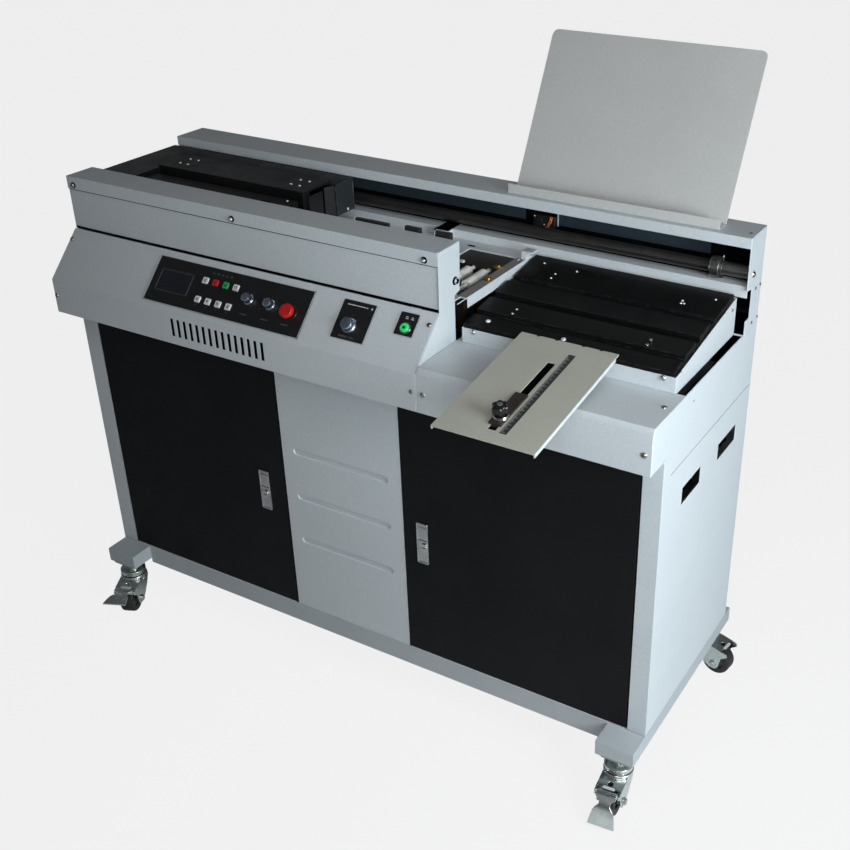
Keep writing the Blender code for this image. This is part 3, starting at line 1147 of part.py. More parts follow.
def build_cover_guide():
    """Cover guide plate on the table's front strip, its sliding stop and the stop's thumb knob."""
    place = (0, TRAY_FRONT, TRAY_HEIGHT)
    turn = (TRAY_TILT, 0, 0)
    half_slot = SLOT_WIDTH / 2
    plate = boxes("guide_plate", BEIGE_COAT, [
        box(GUIDE_LEFT, GUIDE_RIGHT, -GUIDE_REACH, GUIDE_OVERLAP, GUIDE_BOTTOM, GUIDE_TOP),
        box(GUIDE_LEFT, GUIDE_LEFT + GUIDE_SHEET, -GUIDE_REACH, -GUIDE_EDGE_SETBACK, GUIDE_TOP - GUIDE_EDGE,
            GUIDE_TOP),
        box(GUIDE_RIGHT - GUIDE_SHEET, GUIDE_RIGHT, -GUIDE_REACH, -GUIDE_EDGE_SETBACK,
            GUIDE_TOP - GUIDE_EDGE, GUIDE_TOP),
    ], [box(SLOT_X - half_slot, SLOT_X + half_slot, SLOT_START, SLOT_END, GUIDE_BOTTOM - OVERRUN,
            GUIDE_TOP + OVERRUN)], place, turn)
    notches = [rod_mesh("notch", NOTCH_RADIUS, (across, GUIDE_OVERLAP, GUIDE_BOTTOM - OVERRUN),
                        (across, GUIDE_OVERLAP, GUIDE_TOP + OVERRUN), 12) for across in NOTCH_COLUMNS]
    combine(plate, "guide_notches", merged_mesh("guide_notches", notches), "DIFFERENCE", place, turn)
    half = STOP_BLOCK_WIDTH / 2
    half_keeper = STOP_KEEPER_WIDTH / 2
    stem = half_slot - HOLE_PLAY
    end = STOP_BLOCK_START + STOP_BLOCK_LENGTH
    block_low = GUIDE_TOP + CLEAR
    keeper_top = GUIDE_BOTTOM - CLEAR
    boxes("guide_stop", DARK_STEEL, [
        box(SLOT_X - half, SLOT_X + half, STOP_BLOCK_START, end, block_low, block_low + STOP_BLOCK_HEIGHT),
        box(SLOT_X - stem, SLOT_X + stem, STOP_BLOCK_START, end,
            keeper_top - SHEET, block_low + STOP_BLOCK_HEIGHT),
        box(SLOT_X - half_keeper, SLOT_X + half_keeper, STOP_BLOCK_START, end,
            keeper_top - SHEET, keeper_top),
    ], (), place, turn)
    foot = block_low + STOP_BLOCK_HEIGHT + CLEAR
    knob = turned_mesh("guide_knob", ((0, 0), (KNOB_BOSS, 0), (KNOB_BOSS, KNOB_BOSS_HEIGHT),
                                      (KNOB_RADIUS, KNOB_BOSS_HEIGHT),
                                      (KNOB_RADIUS, KNOB_BOSS_HEIGHT + KNOB_HEIGHT * SIDE_SHARE),
                                      (KNOB_RADIUS * SIDE_SHARE, KNOB_BOSS_HEIGHT + KNOB_HEIGHT),
                                      (0, KNOB_BOSS_HEIGHT + KNOB_HEIGHT)), 4 * KNOB_LOBES)
    for vertex in knob.vertices:
        radius = math.hypot(vertex.co.x, vertex.co.y)
        if radius > KNOB_BOSS + CLEAR:
            angle = math.atan2(vertex.co.y, vertex.co.x)
            swell = 1 + KNOB_LOBE_SHARE * (math.cos(KNOB_LOBES * angle) - 1)
            vertex.co.x *= swell
            vertex.co.y *= swell
    turn_matrix = Matrix.Rotation(TRAY_TILT, 3, "X")
    spot = Vector(place) + turn_matrix @ Vector((SLOT_X, KNOB_ALONG, foot))
    add_object("guide_knob", knob, BLACK_PLASTIC, spot, turn)


def fork_tools(crown, with_pedal_pin):
    """Joins the two legs, the hood between them, the axle and the pedal's pin onto a fork's crown."""
    reach = FORK_GAP + FORK_SHEET
    inner = reach - FORK_SHEET / 2
    axle_height = WHEEL_RADIUS - CASTER_HEIGHT
    leg_length = axle_height + LEG_DROP
    outline = [(across * CASTER_TRAIL, down * leg_length - LEG_DROP) for across, down in LEG_SHARES]
    tools = []
    for side in (-1, 1):
        low, high = sorted((side * FORK_GAP, side * reach))
        tools.append(combine(crown, "leg", prism_mesh("leg", outline, "Y", low, high), "UNION"))
        head = rod_mesh("head", BOLT_HEAD, (CASTER_TRAIL, side * inner, axle_height),
                        (CASTER_TRAIL, side * (reach + BOLT_PROUD), axle_height), 6)
        tools.append(combine(crown, "bolt_head", head, "UNION"))
    hood = [*HOOD_PATH, *reversed(offset_path(HOOD_PATH, FORK_SHEET))]
    tools.append(combine(crown, "hood", prism_mesh("hood", hood, "Y", STEP_IN - reach, reach - STEP_IN),
                         "UNION"))
    rods = [("axle", AXLE_RADIUS, CASTER_TRAIL, axle_height, 12)]
    if with_pedal_pin:
        rods.append(("pedal_pin", PEDAL_PIN_RADIUS, PEDAL_PIN_OUT, -PEDAL_PIN_DROP, 10))
    for name, radius, out, height, sides in rods:
        rod = rod_mesh(name, radius, (out, -inner, height), (out, inner, height), sides)
        tools.append(combine(crown, name, rod, "UNION"))
    return tools


def fork_mesh(name, with_pedal_pin):
    """Swivel crown on its stem, legs, hood, the axle and, on a braked caster, the pedal's pin."""
    top = -CASTER_PLATE_THICKNESS - CLEAR
    sides = [(CROWN_RADIUS * radius, -CROWN_DROP * depth) for radius, depth in CROWN_SHARES]
    stem_foot = (STEM_RADIUS, sides[-1][1])
    profile = [(0, -CROWN_DROP), *sides, stem_foot, (STEM_RADIUS, top), (0, top)]
    crown = add_object("crown", turned_mesh("crown", profile), None)
    tools = fork_tools(crown, with_pedal_pin)
    hole = rod_mesh("hood_hole", HOOD_HOLE_RADIUS, (HOOD_HOLE_OUT, 0, -CROWN_DROP - OVERRUN),
                    (HOOD_HOLE_OUT, 0, OVERRUN - LEG_DROP), 16)
    tools.append(combine(crown, "hood_hole", hole))
    return settled_mesh(name, crown, tools)


def wheel_mesh():
    """Caster wheel about its own axle, with a crowned tread and a bored hub."""
    half = WHEEL_WIDTH / 2
    bore = AXLE_RADIUS + CLEAR
    near = [(WHEEL_RADIUS * radius, -half * width) for radius, width in WHEEL_SHARES]
    far = [(radius, -width) for radius, width in reversed(near)]
    profile = [(bore, -half), *near, *far, (bore, half)]
    mesh = turned_mesh("caster_wheel", profile, 32)
    mesh.transform(Matrix.Rotation(math.pi / 2, 4, "X"))
    return mesh


def pedal_mesh():
    """Brake pedal about its own pin: an eye and a blade that narrows to a waist and flares to its pad."""
    half = PEDAL_NECK / 2
    section = [*PEDAL_PATH, *reversed(offset_path(PEDAL_PATH, PEDAL_SHEET))]
    widest = max(width for width, height in PEDAL_HALF_WIDTHS)
    blade = add_object("blade", prism_mesh("blade", section, "Y", -widest, widest), None)
    front = [*PEDAL_HALF_WIDTHS, *((-width, height) for width, height in reversed(PEDAL_HALF_WIDTHS))]
    reach = PEDAL_PIN_OUT
    tools = [combine(blade, "front", prism_mesh("front", front, "X", -reach, reach), "INTERSECT"),
             combine(blade, "eye", rod_mesh("eye", PEDAL_EYE, (0, -half, 0), (0, half, 0), 16), "UNION"),
             combine(blade, "pin_bore", rod_mesh("pin_bore", PEDAL_PIN_RADIUS + CLEAR, (0, -PEDAL_NECK, 0),
                                                 (0, PEDAL_NECK, 0), 10))]
    return settled_mesh("brake_pedal", blade, tools)


def build_casters():
    """Four swivel casters, turned as they stand; of the front two's pedals the left one is up."""
    foot_bottom = -PAN_THICKNESS - FOOT_HEIGHT
    plain_fork = fork_mesh("caster_fork", False)
    braked_fork = fork_mesh("braked_caster_fork", True)
    wheel = wheel_mesh()
    pedal = pedal_mesh()
    left = FOOT_WIDTH / 2
    right = WIDTH - FOOT_WIDTH / 2
    casters = (("front_left", left, CASTER_FRONT, FRONT_LEFT_TURN, PEDAL_LIFT),
               ("front_right", right, CASTER_FRONT, FRONT_RIGHT_TURN, 0.0),
               ("back_left", left, CASTER_BACK, BACK_LEFT_TURN, None),
               ("back_right", right, CASTER_BACK, BACK_RIGHT_TURN, None))
    for name, across, deep, turn, lift in casters:
        braked = lift is not None
        swivel = Vector((across, deep, foot_bottom))
        spin = Matrix.Rotation(turn, 3, "Z")
        add_object(f"{name}_caster_fork", braked_fork if braked else plain_fork, ZINC, swivel, (0, 0, turn))
        axle = swivel + spin @ Vector((CASTER_TRAIL, 0, WHEEL_RADIUS - CASTER_HEIGHT))
        add_object(f"{name}_caster_wheel", wheel, RUBBER, axle, (0, 0, turn))
        if braked:
            pin = swivel + spin @ Vector((PEDAL_PIN_OUT, 0, -PEDAL_PIN_DROP))
            add_object(f"{name}_brake_pedal", pedal, ZINC, pin, (0, -lift, turn))


build_base_frame()
build_front_frame()
build_side_panels()
build_rear_panel()
build_doors()
build_locks()
build_console()
build_controls()
build_shelf()
build_beam_and_rest()
build_guides()
build_carriage()
build_deck()
build_milling()
build_glue_station()
build_machinery()
build_cover_table()
build_cover_guide()
build_casters()
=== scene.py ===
"""Looks of the floor-standing perfect binding machine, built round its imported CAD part.

Lengths are metres. Machine coordinates, used for all sizes below, start at the left outer face,
the door plane and the cabinet's bottom edge; machine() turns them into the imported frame.
"""
import json
import logging
import math
from dataclasses import dataclass
from enum import Enum
from functools import partial
from typing import Any, Iterable, Optional, Sequence

import bmesh
import bpy
from mathutils import Matrix, Vector
from mathutils.bvhtree import BVHTree

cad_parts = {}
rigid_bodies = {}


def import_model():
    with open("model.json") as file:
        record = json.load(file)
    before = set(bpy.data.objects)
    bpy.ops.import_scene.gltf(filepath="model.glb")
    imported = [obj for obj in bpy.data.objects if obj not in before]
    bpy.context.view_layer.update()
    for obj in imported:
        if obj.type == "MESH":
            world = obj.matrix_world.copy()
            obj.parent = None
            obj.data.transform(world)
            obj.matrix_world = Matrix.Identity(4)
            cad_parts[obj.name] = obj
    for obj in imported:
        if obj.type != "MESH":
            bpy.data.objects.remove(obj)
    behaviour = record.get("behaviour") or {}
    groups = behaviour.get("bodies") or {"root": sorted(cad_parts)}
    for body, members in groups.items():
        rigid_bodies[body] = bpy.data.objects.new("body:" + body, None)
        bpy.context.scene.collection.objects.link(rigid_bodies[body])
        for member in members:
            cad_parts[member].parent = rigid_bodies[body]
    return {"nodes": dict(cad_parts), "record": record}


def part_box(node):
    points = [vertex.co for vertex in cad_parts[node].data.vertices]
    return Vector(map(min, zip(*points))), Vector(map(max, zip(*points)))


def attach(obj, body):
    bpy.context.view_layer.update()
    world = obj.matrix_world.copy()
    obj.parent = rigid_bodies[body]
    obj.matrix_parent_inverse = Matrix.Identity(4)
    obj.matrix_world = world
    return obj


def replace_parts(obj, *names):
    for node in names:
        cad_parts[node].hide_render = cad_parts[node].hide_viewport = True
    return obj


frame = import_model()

Point = Sequence[float]
Points = Sequence[Point]
Colour = tuple[float, float, float]
LOG = logging.getLogger("binding_machine")
SHEET_EDGE = 0.0009
FINE_EDGE = 0.0003
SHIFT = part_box("rear_beam")[0] - Vector((0.0, 0.3265, 0.814))
BODY_OF = {node: body for body, nodes in frame["record"]["behaviour"]["bodies"].items() for node in nodes}


def machine(x: float, y: float, z: float) -> Vector:
    """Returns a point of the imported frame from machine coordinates."""
    return Vector((x, y, z)) + SHIFT


class Graph:
    """Adds nodes to a tree and links them."""

    def __init__(self, tree: Any) -> None:
        """Keeps the tree that the nodes go into."""
        self.tree = tree

    def add(self, kind: str, inputs: Optional[dict] = None, **settings: Any) -> Any:
        """Adds one node.

        Args:
            kind: the node's type.
            inputs: values or sockets by input name or index.
            settings: properties of the node.

        Returns:
            The node.
        """
        node = self.tree.nodes.new(kind)
        for name, value in settings.items():
            setattr(node, name, value)
        for name, value in (inputs or {}).items():
            if isinstance(value, bpy.types.NodeSocket):
                self.tree.links.new(value, node.inputs[name])
            else:
                node.inputs[name].default_value = value
        return node

    def link(self, source: Any, target: Any) -> None:
        """Links two sockets."""
        self.tree.links.new(source, target)


def fresh_graph(data: Any) -> Graph:
    """Empties the node tree of a material or world.

    Args:
        data: the material or world.

    Returns:
        The graph of its empty tree.
    """
    data.use_nodes = True
    data.node_tree.nodes.clear()
    return Graph(data.node_tree)


def in_scene(name: str, data: Any) -> bpy.types.Object:
    """Puts new data in the scene, at the origin.

    Args:
        name: the object's name.
        data: its mesh, curve, light or camera.

    Returns:
        The object.
    """
    made = bpy.data.objects.new(name, data)
    bpy.context.scene.collection.objects.link(made)
    return made


class Grain(Enum):
    """Fine surface pattern of a finish."""

    POWDER = "orange peel of a powder coat"
    BRUSHED = "lines along the machine's width"
    TURNED = "fine lines round an axis"
    ZINC = "cloudy plating"
    MOULDED = "fine spark texture of moulded plastic"
    SMOOTH = "polished, with faint waves"


@dataclass(frozen=True)
class Finish:
    """One surface finish, with slow colour drift, uneven gloss, fine grain, and sharp edges lightened as worn
    coat and as painted highlight.
    """

    name: str
    slot: str
    colour: Colour
    drift: Colour
    rough: float
    spread: float = 0.08
    metal: float = 0.0
    grain: Grain = Grain.POWDER
    cell: float = 0.0016
    relief: float = 0.00004
    patch: float = 0.25
    # share of edge lightening, part worn coat and part painted highlight
    wear: float = 0.0
    bare: Colour = (0.45, 0.45, 0.44)
    coat: float = 0.0
    specular: float = 0.5
    glow: float = 0.0

    def material(self) -> bpy.types.Material:
        """Returns the material, made once and then reused."""
        return bpy.data.materials.get(self.name) or self.make()

    def make(self) -> bpy.types.Material:
        """Builds the node tree of the material.

        Returns:
            The new material.
        """
        material = bpy.data.materials.new(self.name)
        graph = fresh_graph(material)
        place = graph.add("ShaderNodeTexCoord").outputs["Object"]
        shader = graph.add("ShaderNodeBsdfPrincipled", {
            "Metallic": self.metal, "Coat Weight": self.coat, "Coat Roughness": 0.12,
            "Specular IOR Level": self.specular})
        base = self.base_colour(graph, place)
        # edges lightened as worn coat and as painted highlight
        if self.wear > 0.0:
            base = self.worn_and_highlit_edges(graph, place, base)
        graph.link(base, shader.inputs["Base Color"])
        graph.link(self.gloss(graph, place), shader.inputs["Roughness"])
        graph.link(self.surface(graph, place), shader.inputs["Normal"])
        if self.glow > 0.0:
            shader.inputs["Emission Color"].default_value = (*self.colour, 1.0)
            shader.inputs["Emission Strength"].default_value = self.glow
        output = graph.add("ShaderNodeOutputMaterial")
        graph.link(shader.outputs["BSDF"], output.inputs["Surface"])
        return material

    def base_colour(self, graph: Graph, place: Any) -> Any:
        """Slow drift between the two colours, with a faint fine mottle.

        Args:
            graph: the material's nodes.
            place: the socket with object coordinates.

        Returns:
            The colour socket.
        """
        slow = graph.add("ShaderNodeTexNoise", {
            "Vector": place, "Scale": 1.0 / self.patch, "Detail": 5.0, "Roughness": 0.62})
        share = graph.add("ShaderNodeMapRange", {
            "Value": slow.outputs["Fac"], "From Min": 0.32, "From Max": 0.68})
        mixed = graph.add("ShaderNodeMix", {
            "Factor": share.outputs["Result"], 6: (*self.colour, 1.0), 7: (*self.drift, 1.0)},
            data_type="RGBA")
        fine = graph.add("ShaderNodeTexNoise", {
            "Vector": place, "Scale": 0.5 / self.cell, "Detail": 3.0})
        mottle = graph.add("ShaderNodeMapRange", {
            "Value": fine.outputs["Fac"], "From Min": 0.3, "From Max": 0.7, "To Min": 0.95, "To Max": 1.05})
        return graph.add("ShaderNodeVectorMath", {
            0: mixed.outputs[2], "Scale": mottle.outputs["Result"]}, operation="SCALE").outputs[0]

    def worn_and_highlit_edges(self, graph: Graph, place: Any, base: Any) -> Any:
        """Lightens sharp edges: uncoated metal where the coat is worn, which also paints a highlight along
        them.

        Args:
            graph: the material's nodes.
            place: the socket with object coordinates.
            base: the colour of the sound coat.

        Returns:
            The colour socket.
        """
        soft = graph.add("ShaderNodeBevel", {"Radius": 0.0014}, samples=4)
        true = graph.add("ShaderNodeNewGeometry")
        meet = graph.add("ShaderNodeVectorMath", {
            0: soft.outputs["Normal"], 1: true.outputs["Normal"]}, operation="DOT_PRODUCT")
        edge = graph.add("ShaderNodeMapRange", {
            "Value": meet.outputs["Value"], "From Min": 0.995, "From Max": 0.90, "To Max": self.wear})
        chips = graph.add("ShaderNodeTexNoise", {"Vector": place, "Scale": 90.0, "Detail": 6.0})
        kept = graph.add("ShaderNodeMapRange", {
            "Value": chips.outputs["Fac"], "From Min": 0.42, "From Max": 0.60})
        share = graph.add("ShaderNodeMath", {
            0: edge.outputs["Result"], 1: kept.outputs["Result"]}, operation="MULTIPLY")
        return graph.add("ShaderNodeMix", {
            "Factor": share.outputs[0], 6: base, 7: (*self.bare, 1.0)}, data_type="RGBA").outputs[2]

    def gloss(self, graph: Graph, place: Any) -> Any:
        """Roughness that varies with handling marks and fine grain.

        Args:
            graph: the material's nodes.
            place: the socket with object coordinates.

        Returns:
            The roughness socket.
        """
        smudge = graph.add("ShaderNodeTexNoise", {
            "Vector": place, "Scale": 14.0, "Detail": 6.0, "Roughness": 0.7, "Distortion": 0.6})
        return graph.add("ShaderNodeMapRange", {
            "Value": smudge.outputs["Fac"], "From Min": 0.3, "From Max": 0.7,
            "To Min": max(0.03, self.rough - self.spread),
            "To Max": self.rough + self.spread}).outputs["Result"]

    def surface(self, graph: Graph, place: Any) -> Any:
        """Bump of the finish's grain.

        Args:
            graph: the material's nodes.
            place: the socket with object coordinates.

        Returns:
            The normal socket.
        """
        along = {Grain.BRUSHED: (0.02, 1.0, 1.0), Grain.TURNED: (1.0, 1.0, 0.06)}
        stretch = along.get(self.grain, (1.0, 1.0, 1.0))
        turned = graph.add("ShaderNodeMapping", {"Vector": place, "Scale": stretch})
        detail = 1.0 if self.grain in (Grain.POWDER, Grain.SMOOTH) else 4.0
        if self.grain is Grain.ZINC:
            pattern = graph.add("ShaderNodeTexVoronoi", {
                "Vector": turned.outputs[0], "Scale": 1.0 / self.cell},
                feature="SMOOTH_F1").outputs["Distance"]
        else:
            pattern = graph.add("ShaderNodeTexNoise", {
                "Vector": turned.outputs[0], "Scale": 1.0 / self.cell, "Detail": detail}).outputs["Fac"]
        wave = graph.add("ShaderNodeTexNoise", {"Vector": place, "Scale": 5.0, "Detail": 1.0}).outputs["Fac"]
        flat = graph.add("ShaderNodeBump", {"Height": wave, "Strength": 1.0, "Distance": 0.00012})
        return graph.add("ShaderNodeBump", {
            "Height": pattern, "Strength": 1.0, "Distance": self.relief,
            "Normal": flat.outputs["Normal"]}).outputs["Normal"]


brushed = partial(Finish, grain=Grain.BRUSHED, cell=0.0006, relief=0.00001)
moulded = partial(Finish, grain=Grain.MOULDED, cell=0.0006, relief=0.00001, patch=0.02)
smooth = partial(Finish, grain=Grain.SMOOTH, patch=0.02)

GREY = Finish("grey_powder_coat", "grey_coat", (0.565, 0.610, 0.640), (0.600, 0.640, 0.665), 0.42)
# The black coats below lighten their edges as worn coat and as painted highlight.
BLACK = Finish("black_powder_coat", "black_coat", (0.0085, 0.0088, 0.0095), (0.013, 0.0132, 0.0138), 0.36,
               spread=0.10, cell=0.0011, relief=0.00003, wear=0.35, bare=(0.10, 0.10, 0.10), specular=0.14)
DOOR_BLACK = Finish("door_black_coat", "black_coat", (0.0060, 0.0064, 0.0075), (0.009, 0.0094, 0.0105),
                    0.44, cell=0.0011, relief=0.00003, wear=0.30, bare=(0.09, 0.09, 0.09), specular=0.10)
BEIGE = Finish("warm_grey_coat", "beige_grey_coat", (0.455, 0.450, 0.385), (0.50, 0.492, 0.425), 0.45)
REST_GREY = Finish("rest_grey_coat", "beige_grey_coat", (0.510, 0.508, 0.500), (0.555, 0.552, 0.545), 0.40)
FOOT_GREY = Finish("grey_foot_coat", "grey_coat", (0.420, 0.455, 0.485), (0.455, 0.49, 0.515), 0.45)
ZINC = Finish("bright_zinc", "zinc", (0.60, 0.61, 0.60), (0.47, 0.49, 0.51), 0.27, metal=1.0,
              grain=Grain.ZINC, cell=0.0035, relief=0.00005, patch=0.03)
STEEL = brushed("ground_steel", "polished_steel", (0.62, 0.62, 0.61), (0.52, 0.52, 0.52), 0.22, metal=1.0,
                cell=0.0004, patch=0.05)
DARK_STEEL = brushed("oiled_dark_steel", "dark_steel", (0.060, 0.059, 0.058), (0.038, 0.038, 0.039), 0.30,
                     metal=0.85, patch=0.06)
RUBBER = moulded("wheel_rubber", "black_rubber", (0.012, 0.011, 0.011), (0.022, 0.019, 0.018), 0.52,
                 cell=0.0009, relief=0.00006, patch=0.03)
BLACK_PLASTIC = moulded("black_overlay", "black_plastic", (0.0075, 0.0078, 0.0085), (0.011, 0.0113, 0.0118),
                        0.30, patch=0.25)
KNOB_BLACK = moulded("moulded_black", "black_plastic", (0.011, 0.011, 0.011), (0.016, 0.016, 0.016), 0.38,
                     relief=0.00002, patch=0.25)
WHITE_PLASTIC = moulded("white_key", "white_plastic", (0.78, 0.79, 0.78), (0.72, 0.73, 0.72), 0.34)
RED_PLASTIC = moulded("red_moulding", "red_plastic", (0.60, 0.014, 0.012), (0.52, 0.011, 0.011), 0.24,
                      cell=0.0008, coat=0.4)
GREEN_PLASTIC = moulded("green_moulding", "green_plastic", (0.02, 0.42, 0.10), (0.015, 0.34, 0.08), 0.28,
                        cell=0.0008, coat=0.3)
GREEN_LAMP = smooth("green_lamp", "green_plastic", (0.03, 0.62, 0.16), (0.02, 0.50, 0.12), 0.20, patch=0.01,
                    coat=0.5, glow=0.35)
WHITE_ROLLER = moulded("white_roller_cover", "white_roller", (0.80, 0.80, 0.79), (0.70, 0.68, 0.62), 0.36,
                       cell=0.0008, relief=0.00002)
PRINT_WHITE = smooth("printed_white", "white_plastic", (0.62, 0.64, 0.65), (0.55, 0.57, 0.58), 0.40,
                     relief=0.00001)
PRINT_DARK = smooth("printed_dark", "black_plastic", (0.030, 0.032, 0.036), (0.045, 0.047, 0.05), 0.45,
                    relief=0.00001)
DISPLAY = smooth("display_glass", "black_plastic", (0.0045, 0.006, 0.012), (0.0065, 0.009, 0.018), 0.09,
                 spread=0.03, relief=0.000002, patch=0.05, coat=0.6)
BRASS = brushed("brass", "polished_steel", (0.72, 0.42, 0.12), (0.58, 0.31, 0.08), 0.22, metal=1.0,
                patch=0.01)
BRONZE = brushed("blued_bronze_block", "dark_steel", (0.11, 0.085, 0.07), (0.075, 0.062, 0.055), 0.32,
                 metal=0.7, patch=0.03)
ORANGE_WIRE = moulded("orange_wire", "red_plastic", (0.72, 0.20, 0.03), (0.60, 0.15, 0.02), 0.38,
                      cell=0.0016, relief=0.00004)
BLACK_WIRE = moulded("black_wire", "black_plastic", (0.010, 0.010, 0.010), (0.016, 0.016, 0.016), 0.42,
                     cell=0.0016, relief=0.00004)

# Deep black: mostly painted shade, black sheets set in gaps, slot openings, recesses and behind openings;
# also the casters' seals.
BLACK_AND_SHADE = Finish("deep_black_lining", "black_coat", (0.0028, 0.0028, 0.0030), (0.0045, 0.0045, 0.0048),
                     0.85, specular=0.02)
# Painted shade on the rear wall's inner face: a blue-grey band, and a darker one lower down.
REAR_WALL_SHADE = Finish("blue_grey_rear_wall", "grey_coat", (0.072, 0.103, 0.126), (0.092, 0.128, 0.152), 0.50,
                    specular=0.15)
REAR_WALL_DEEP_SHADE = Finish("dim_rear_wall", "grey_coat", (0.028, 0.041, 0.052), (0.038, 0.054, 0.066), 0.55,
                   specular=0.1)
# Dark joint lines, and painted shade in the locks' key slot.
DARK_JOINT_AND_SHADE = Finish("dark_joint", "black_coat", (0.10, 0.115, 0.125), (0.13, 0.145, 0.155), 0.60,
                   specular=0.1)
CHROME = smooth("chromed_steel", "polished_steel", (0.66, 0.67, 0.68), (0.56, 0.57, 0.58), 0.16,
                spread=0.05, metal=1.0, relief=0.000004)
CHROME_BLUE = Finish("bluish_aluminium_knob", "zinc", (0.50, 0.57, 0.66), (0.42, 0.49, 0.58), 0.24,
                     spread=0.06, metal=1.0, grain=Grain.TURNED, cell=0.0004, relief=0.000008, patch=0.02)
SCREW_DARK = smooth("dark_screw", "dark_steel", (0.22, 0.225, 0.23), (0.14, 0.145, 0.15), 0.30, metal=0.9,
                    patch=0.01)
SCREW_BRONZE = smooth("yellow_passivated_screw", "zinc", (0.42, 0.36, 0.28), (0.33, 0.27, 0.20), 0.24,
                      metal=1.0, patch=0.006)
WHITE_SCREW = smooth("bright_white_screw", "zinc", (0.86, 0.87, 0.88), (0.74, 0.75, 0.77), 0.30, metal=0.35,
                     patch=0.01)
PRINT_GREY = smooth("printed_grey", "black_plastic", (0.11, 0.115, 0.12), (0.085, 0.09, 0.095), 0.45,
                    relief=0.00001)
GREEN_DARK = smooth("green_lamp_centre", "green_plastic", (0.004, 0.10, 0.03), (0.004, 0.07, 0.02), 0.25,
                    patch=0.01)
# End panel: its bright edges are painted highlight, made by the edge lightening.
PANEL_STEEL = brushed("grey_end_panel", "dark_steel", (0.030, 0.037, 0.038), (0.040, 0.049, 0.050), 0.38,
                      metal=0.3, wear=0.5, bare=(0.35, 0.38, 0.40))
# Folded steel: edges lightened as worn coat and as painted highlight.
FOLD_STEEL = brushed("dark_folded_steel", "dark_steel", (0.018, 0.018, 0.018), (0.026, 0.026, 0.026), 0.36,
                     metal=0.3, wear=0.4, bare=(0.16, 0.17, 0.17))
SHAFT_STEEL = smooth("blackened_shaft", "dark_steel", (0.105, 0.096, 0.092), (0.078, 0.071, 0.069), 0.34,
                     spread=0.06, metal=0.85, relief=0.000002, patch=0.08)
COLLAR_STEEL = smooth("collar_steel", "dark_steel", (0.230, 0.228, 0.222), (0.160, 0.158, 0.154), 0.30,
                      metal=0.9, relief=0.000004)
# Painted highlight: pale strips and small parts where light catches edges and lips.
HIGHLIGHT_PALE = smooth("pale_cut_edge", "zinc", (0.70, 0.74, 0.76), (0.60, 0.64, 0.66), 0.40, metal=0.15,
                   patch=0.03)
TANK_BLACK = Finish("coated_tank", "black_coat", (0.014, 0.012, 0.011), (0.026, 0.020, 0.014), 0.34,
                    patch=0.04, specular=0.3)
KNOB_GLOSS = smooth("glossy_black_knob", "black_plastic", (0.0055, 0.0055, 0.0058), (0.009, 0.009, 0.009),
                    0.17, spread=0.06, relief=0.000004, coat=0.3)
# Darker grey strip along the deck's right edge.
STRIP_GREY = Finish("worn_grey_strip", "grey_coat", (0.215, 0.205, 0.190), (0.265, 0.255, 0.240), 0.42,
                    cell=0.0012)
GLUE = smooth("hot_melt_glue", "black_plastic", (0.060, 0.032, 0.010), (0.035, 0.018, 0.007), 0.12,
              relief=0.00005, patch=0.03, coat=0.6)
# Table plates: light edges painted as worn coat and as highlight.
TABLE_BLACK = Finish("table_black_coat", "black_coat", (0.0050, 0.0050, 0.0052), (0.0085, 0.0083, 0.0082),
                     0.34, spread=0.10, cell=0.0011, relief=0.00003, wear=0.45, bare=(0.16, 0.17, 0.18),
                     specular=0.10)
RULE_GREY = brushed("anodised_rule", "dark_steel", (0.055, 0.055, 0.052), (0.075, 0.075, 0.070), 0.35,
                    metal=0.5, patch=0.03)
HUB_GREY = moulded("hub_plastic", "black_plastic", (0.045, 0.040, 0.038), (0.030, 0.027, 0.026), 0.40,
                   cell=0.0008, relief=0.00002)
CASTER_ZINC = Finish("green_passivated_zinc", "zinc", (0.74, 0.78, 0.75), (0.60, 0.65, 0.63), 0.24,
                     metal=1.0, grain=Grain.ZINC, cell=0.0030, patch=0.02)


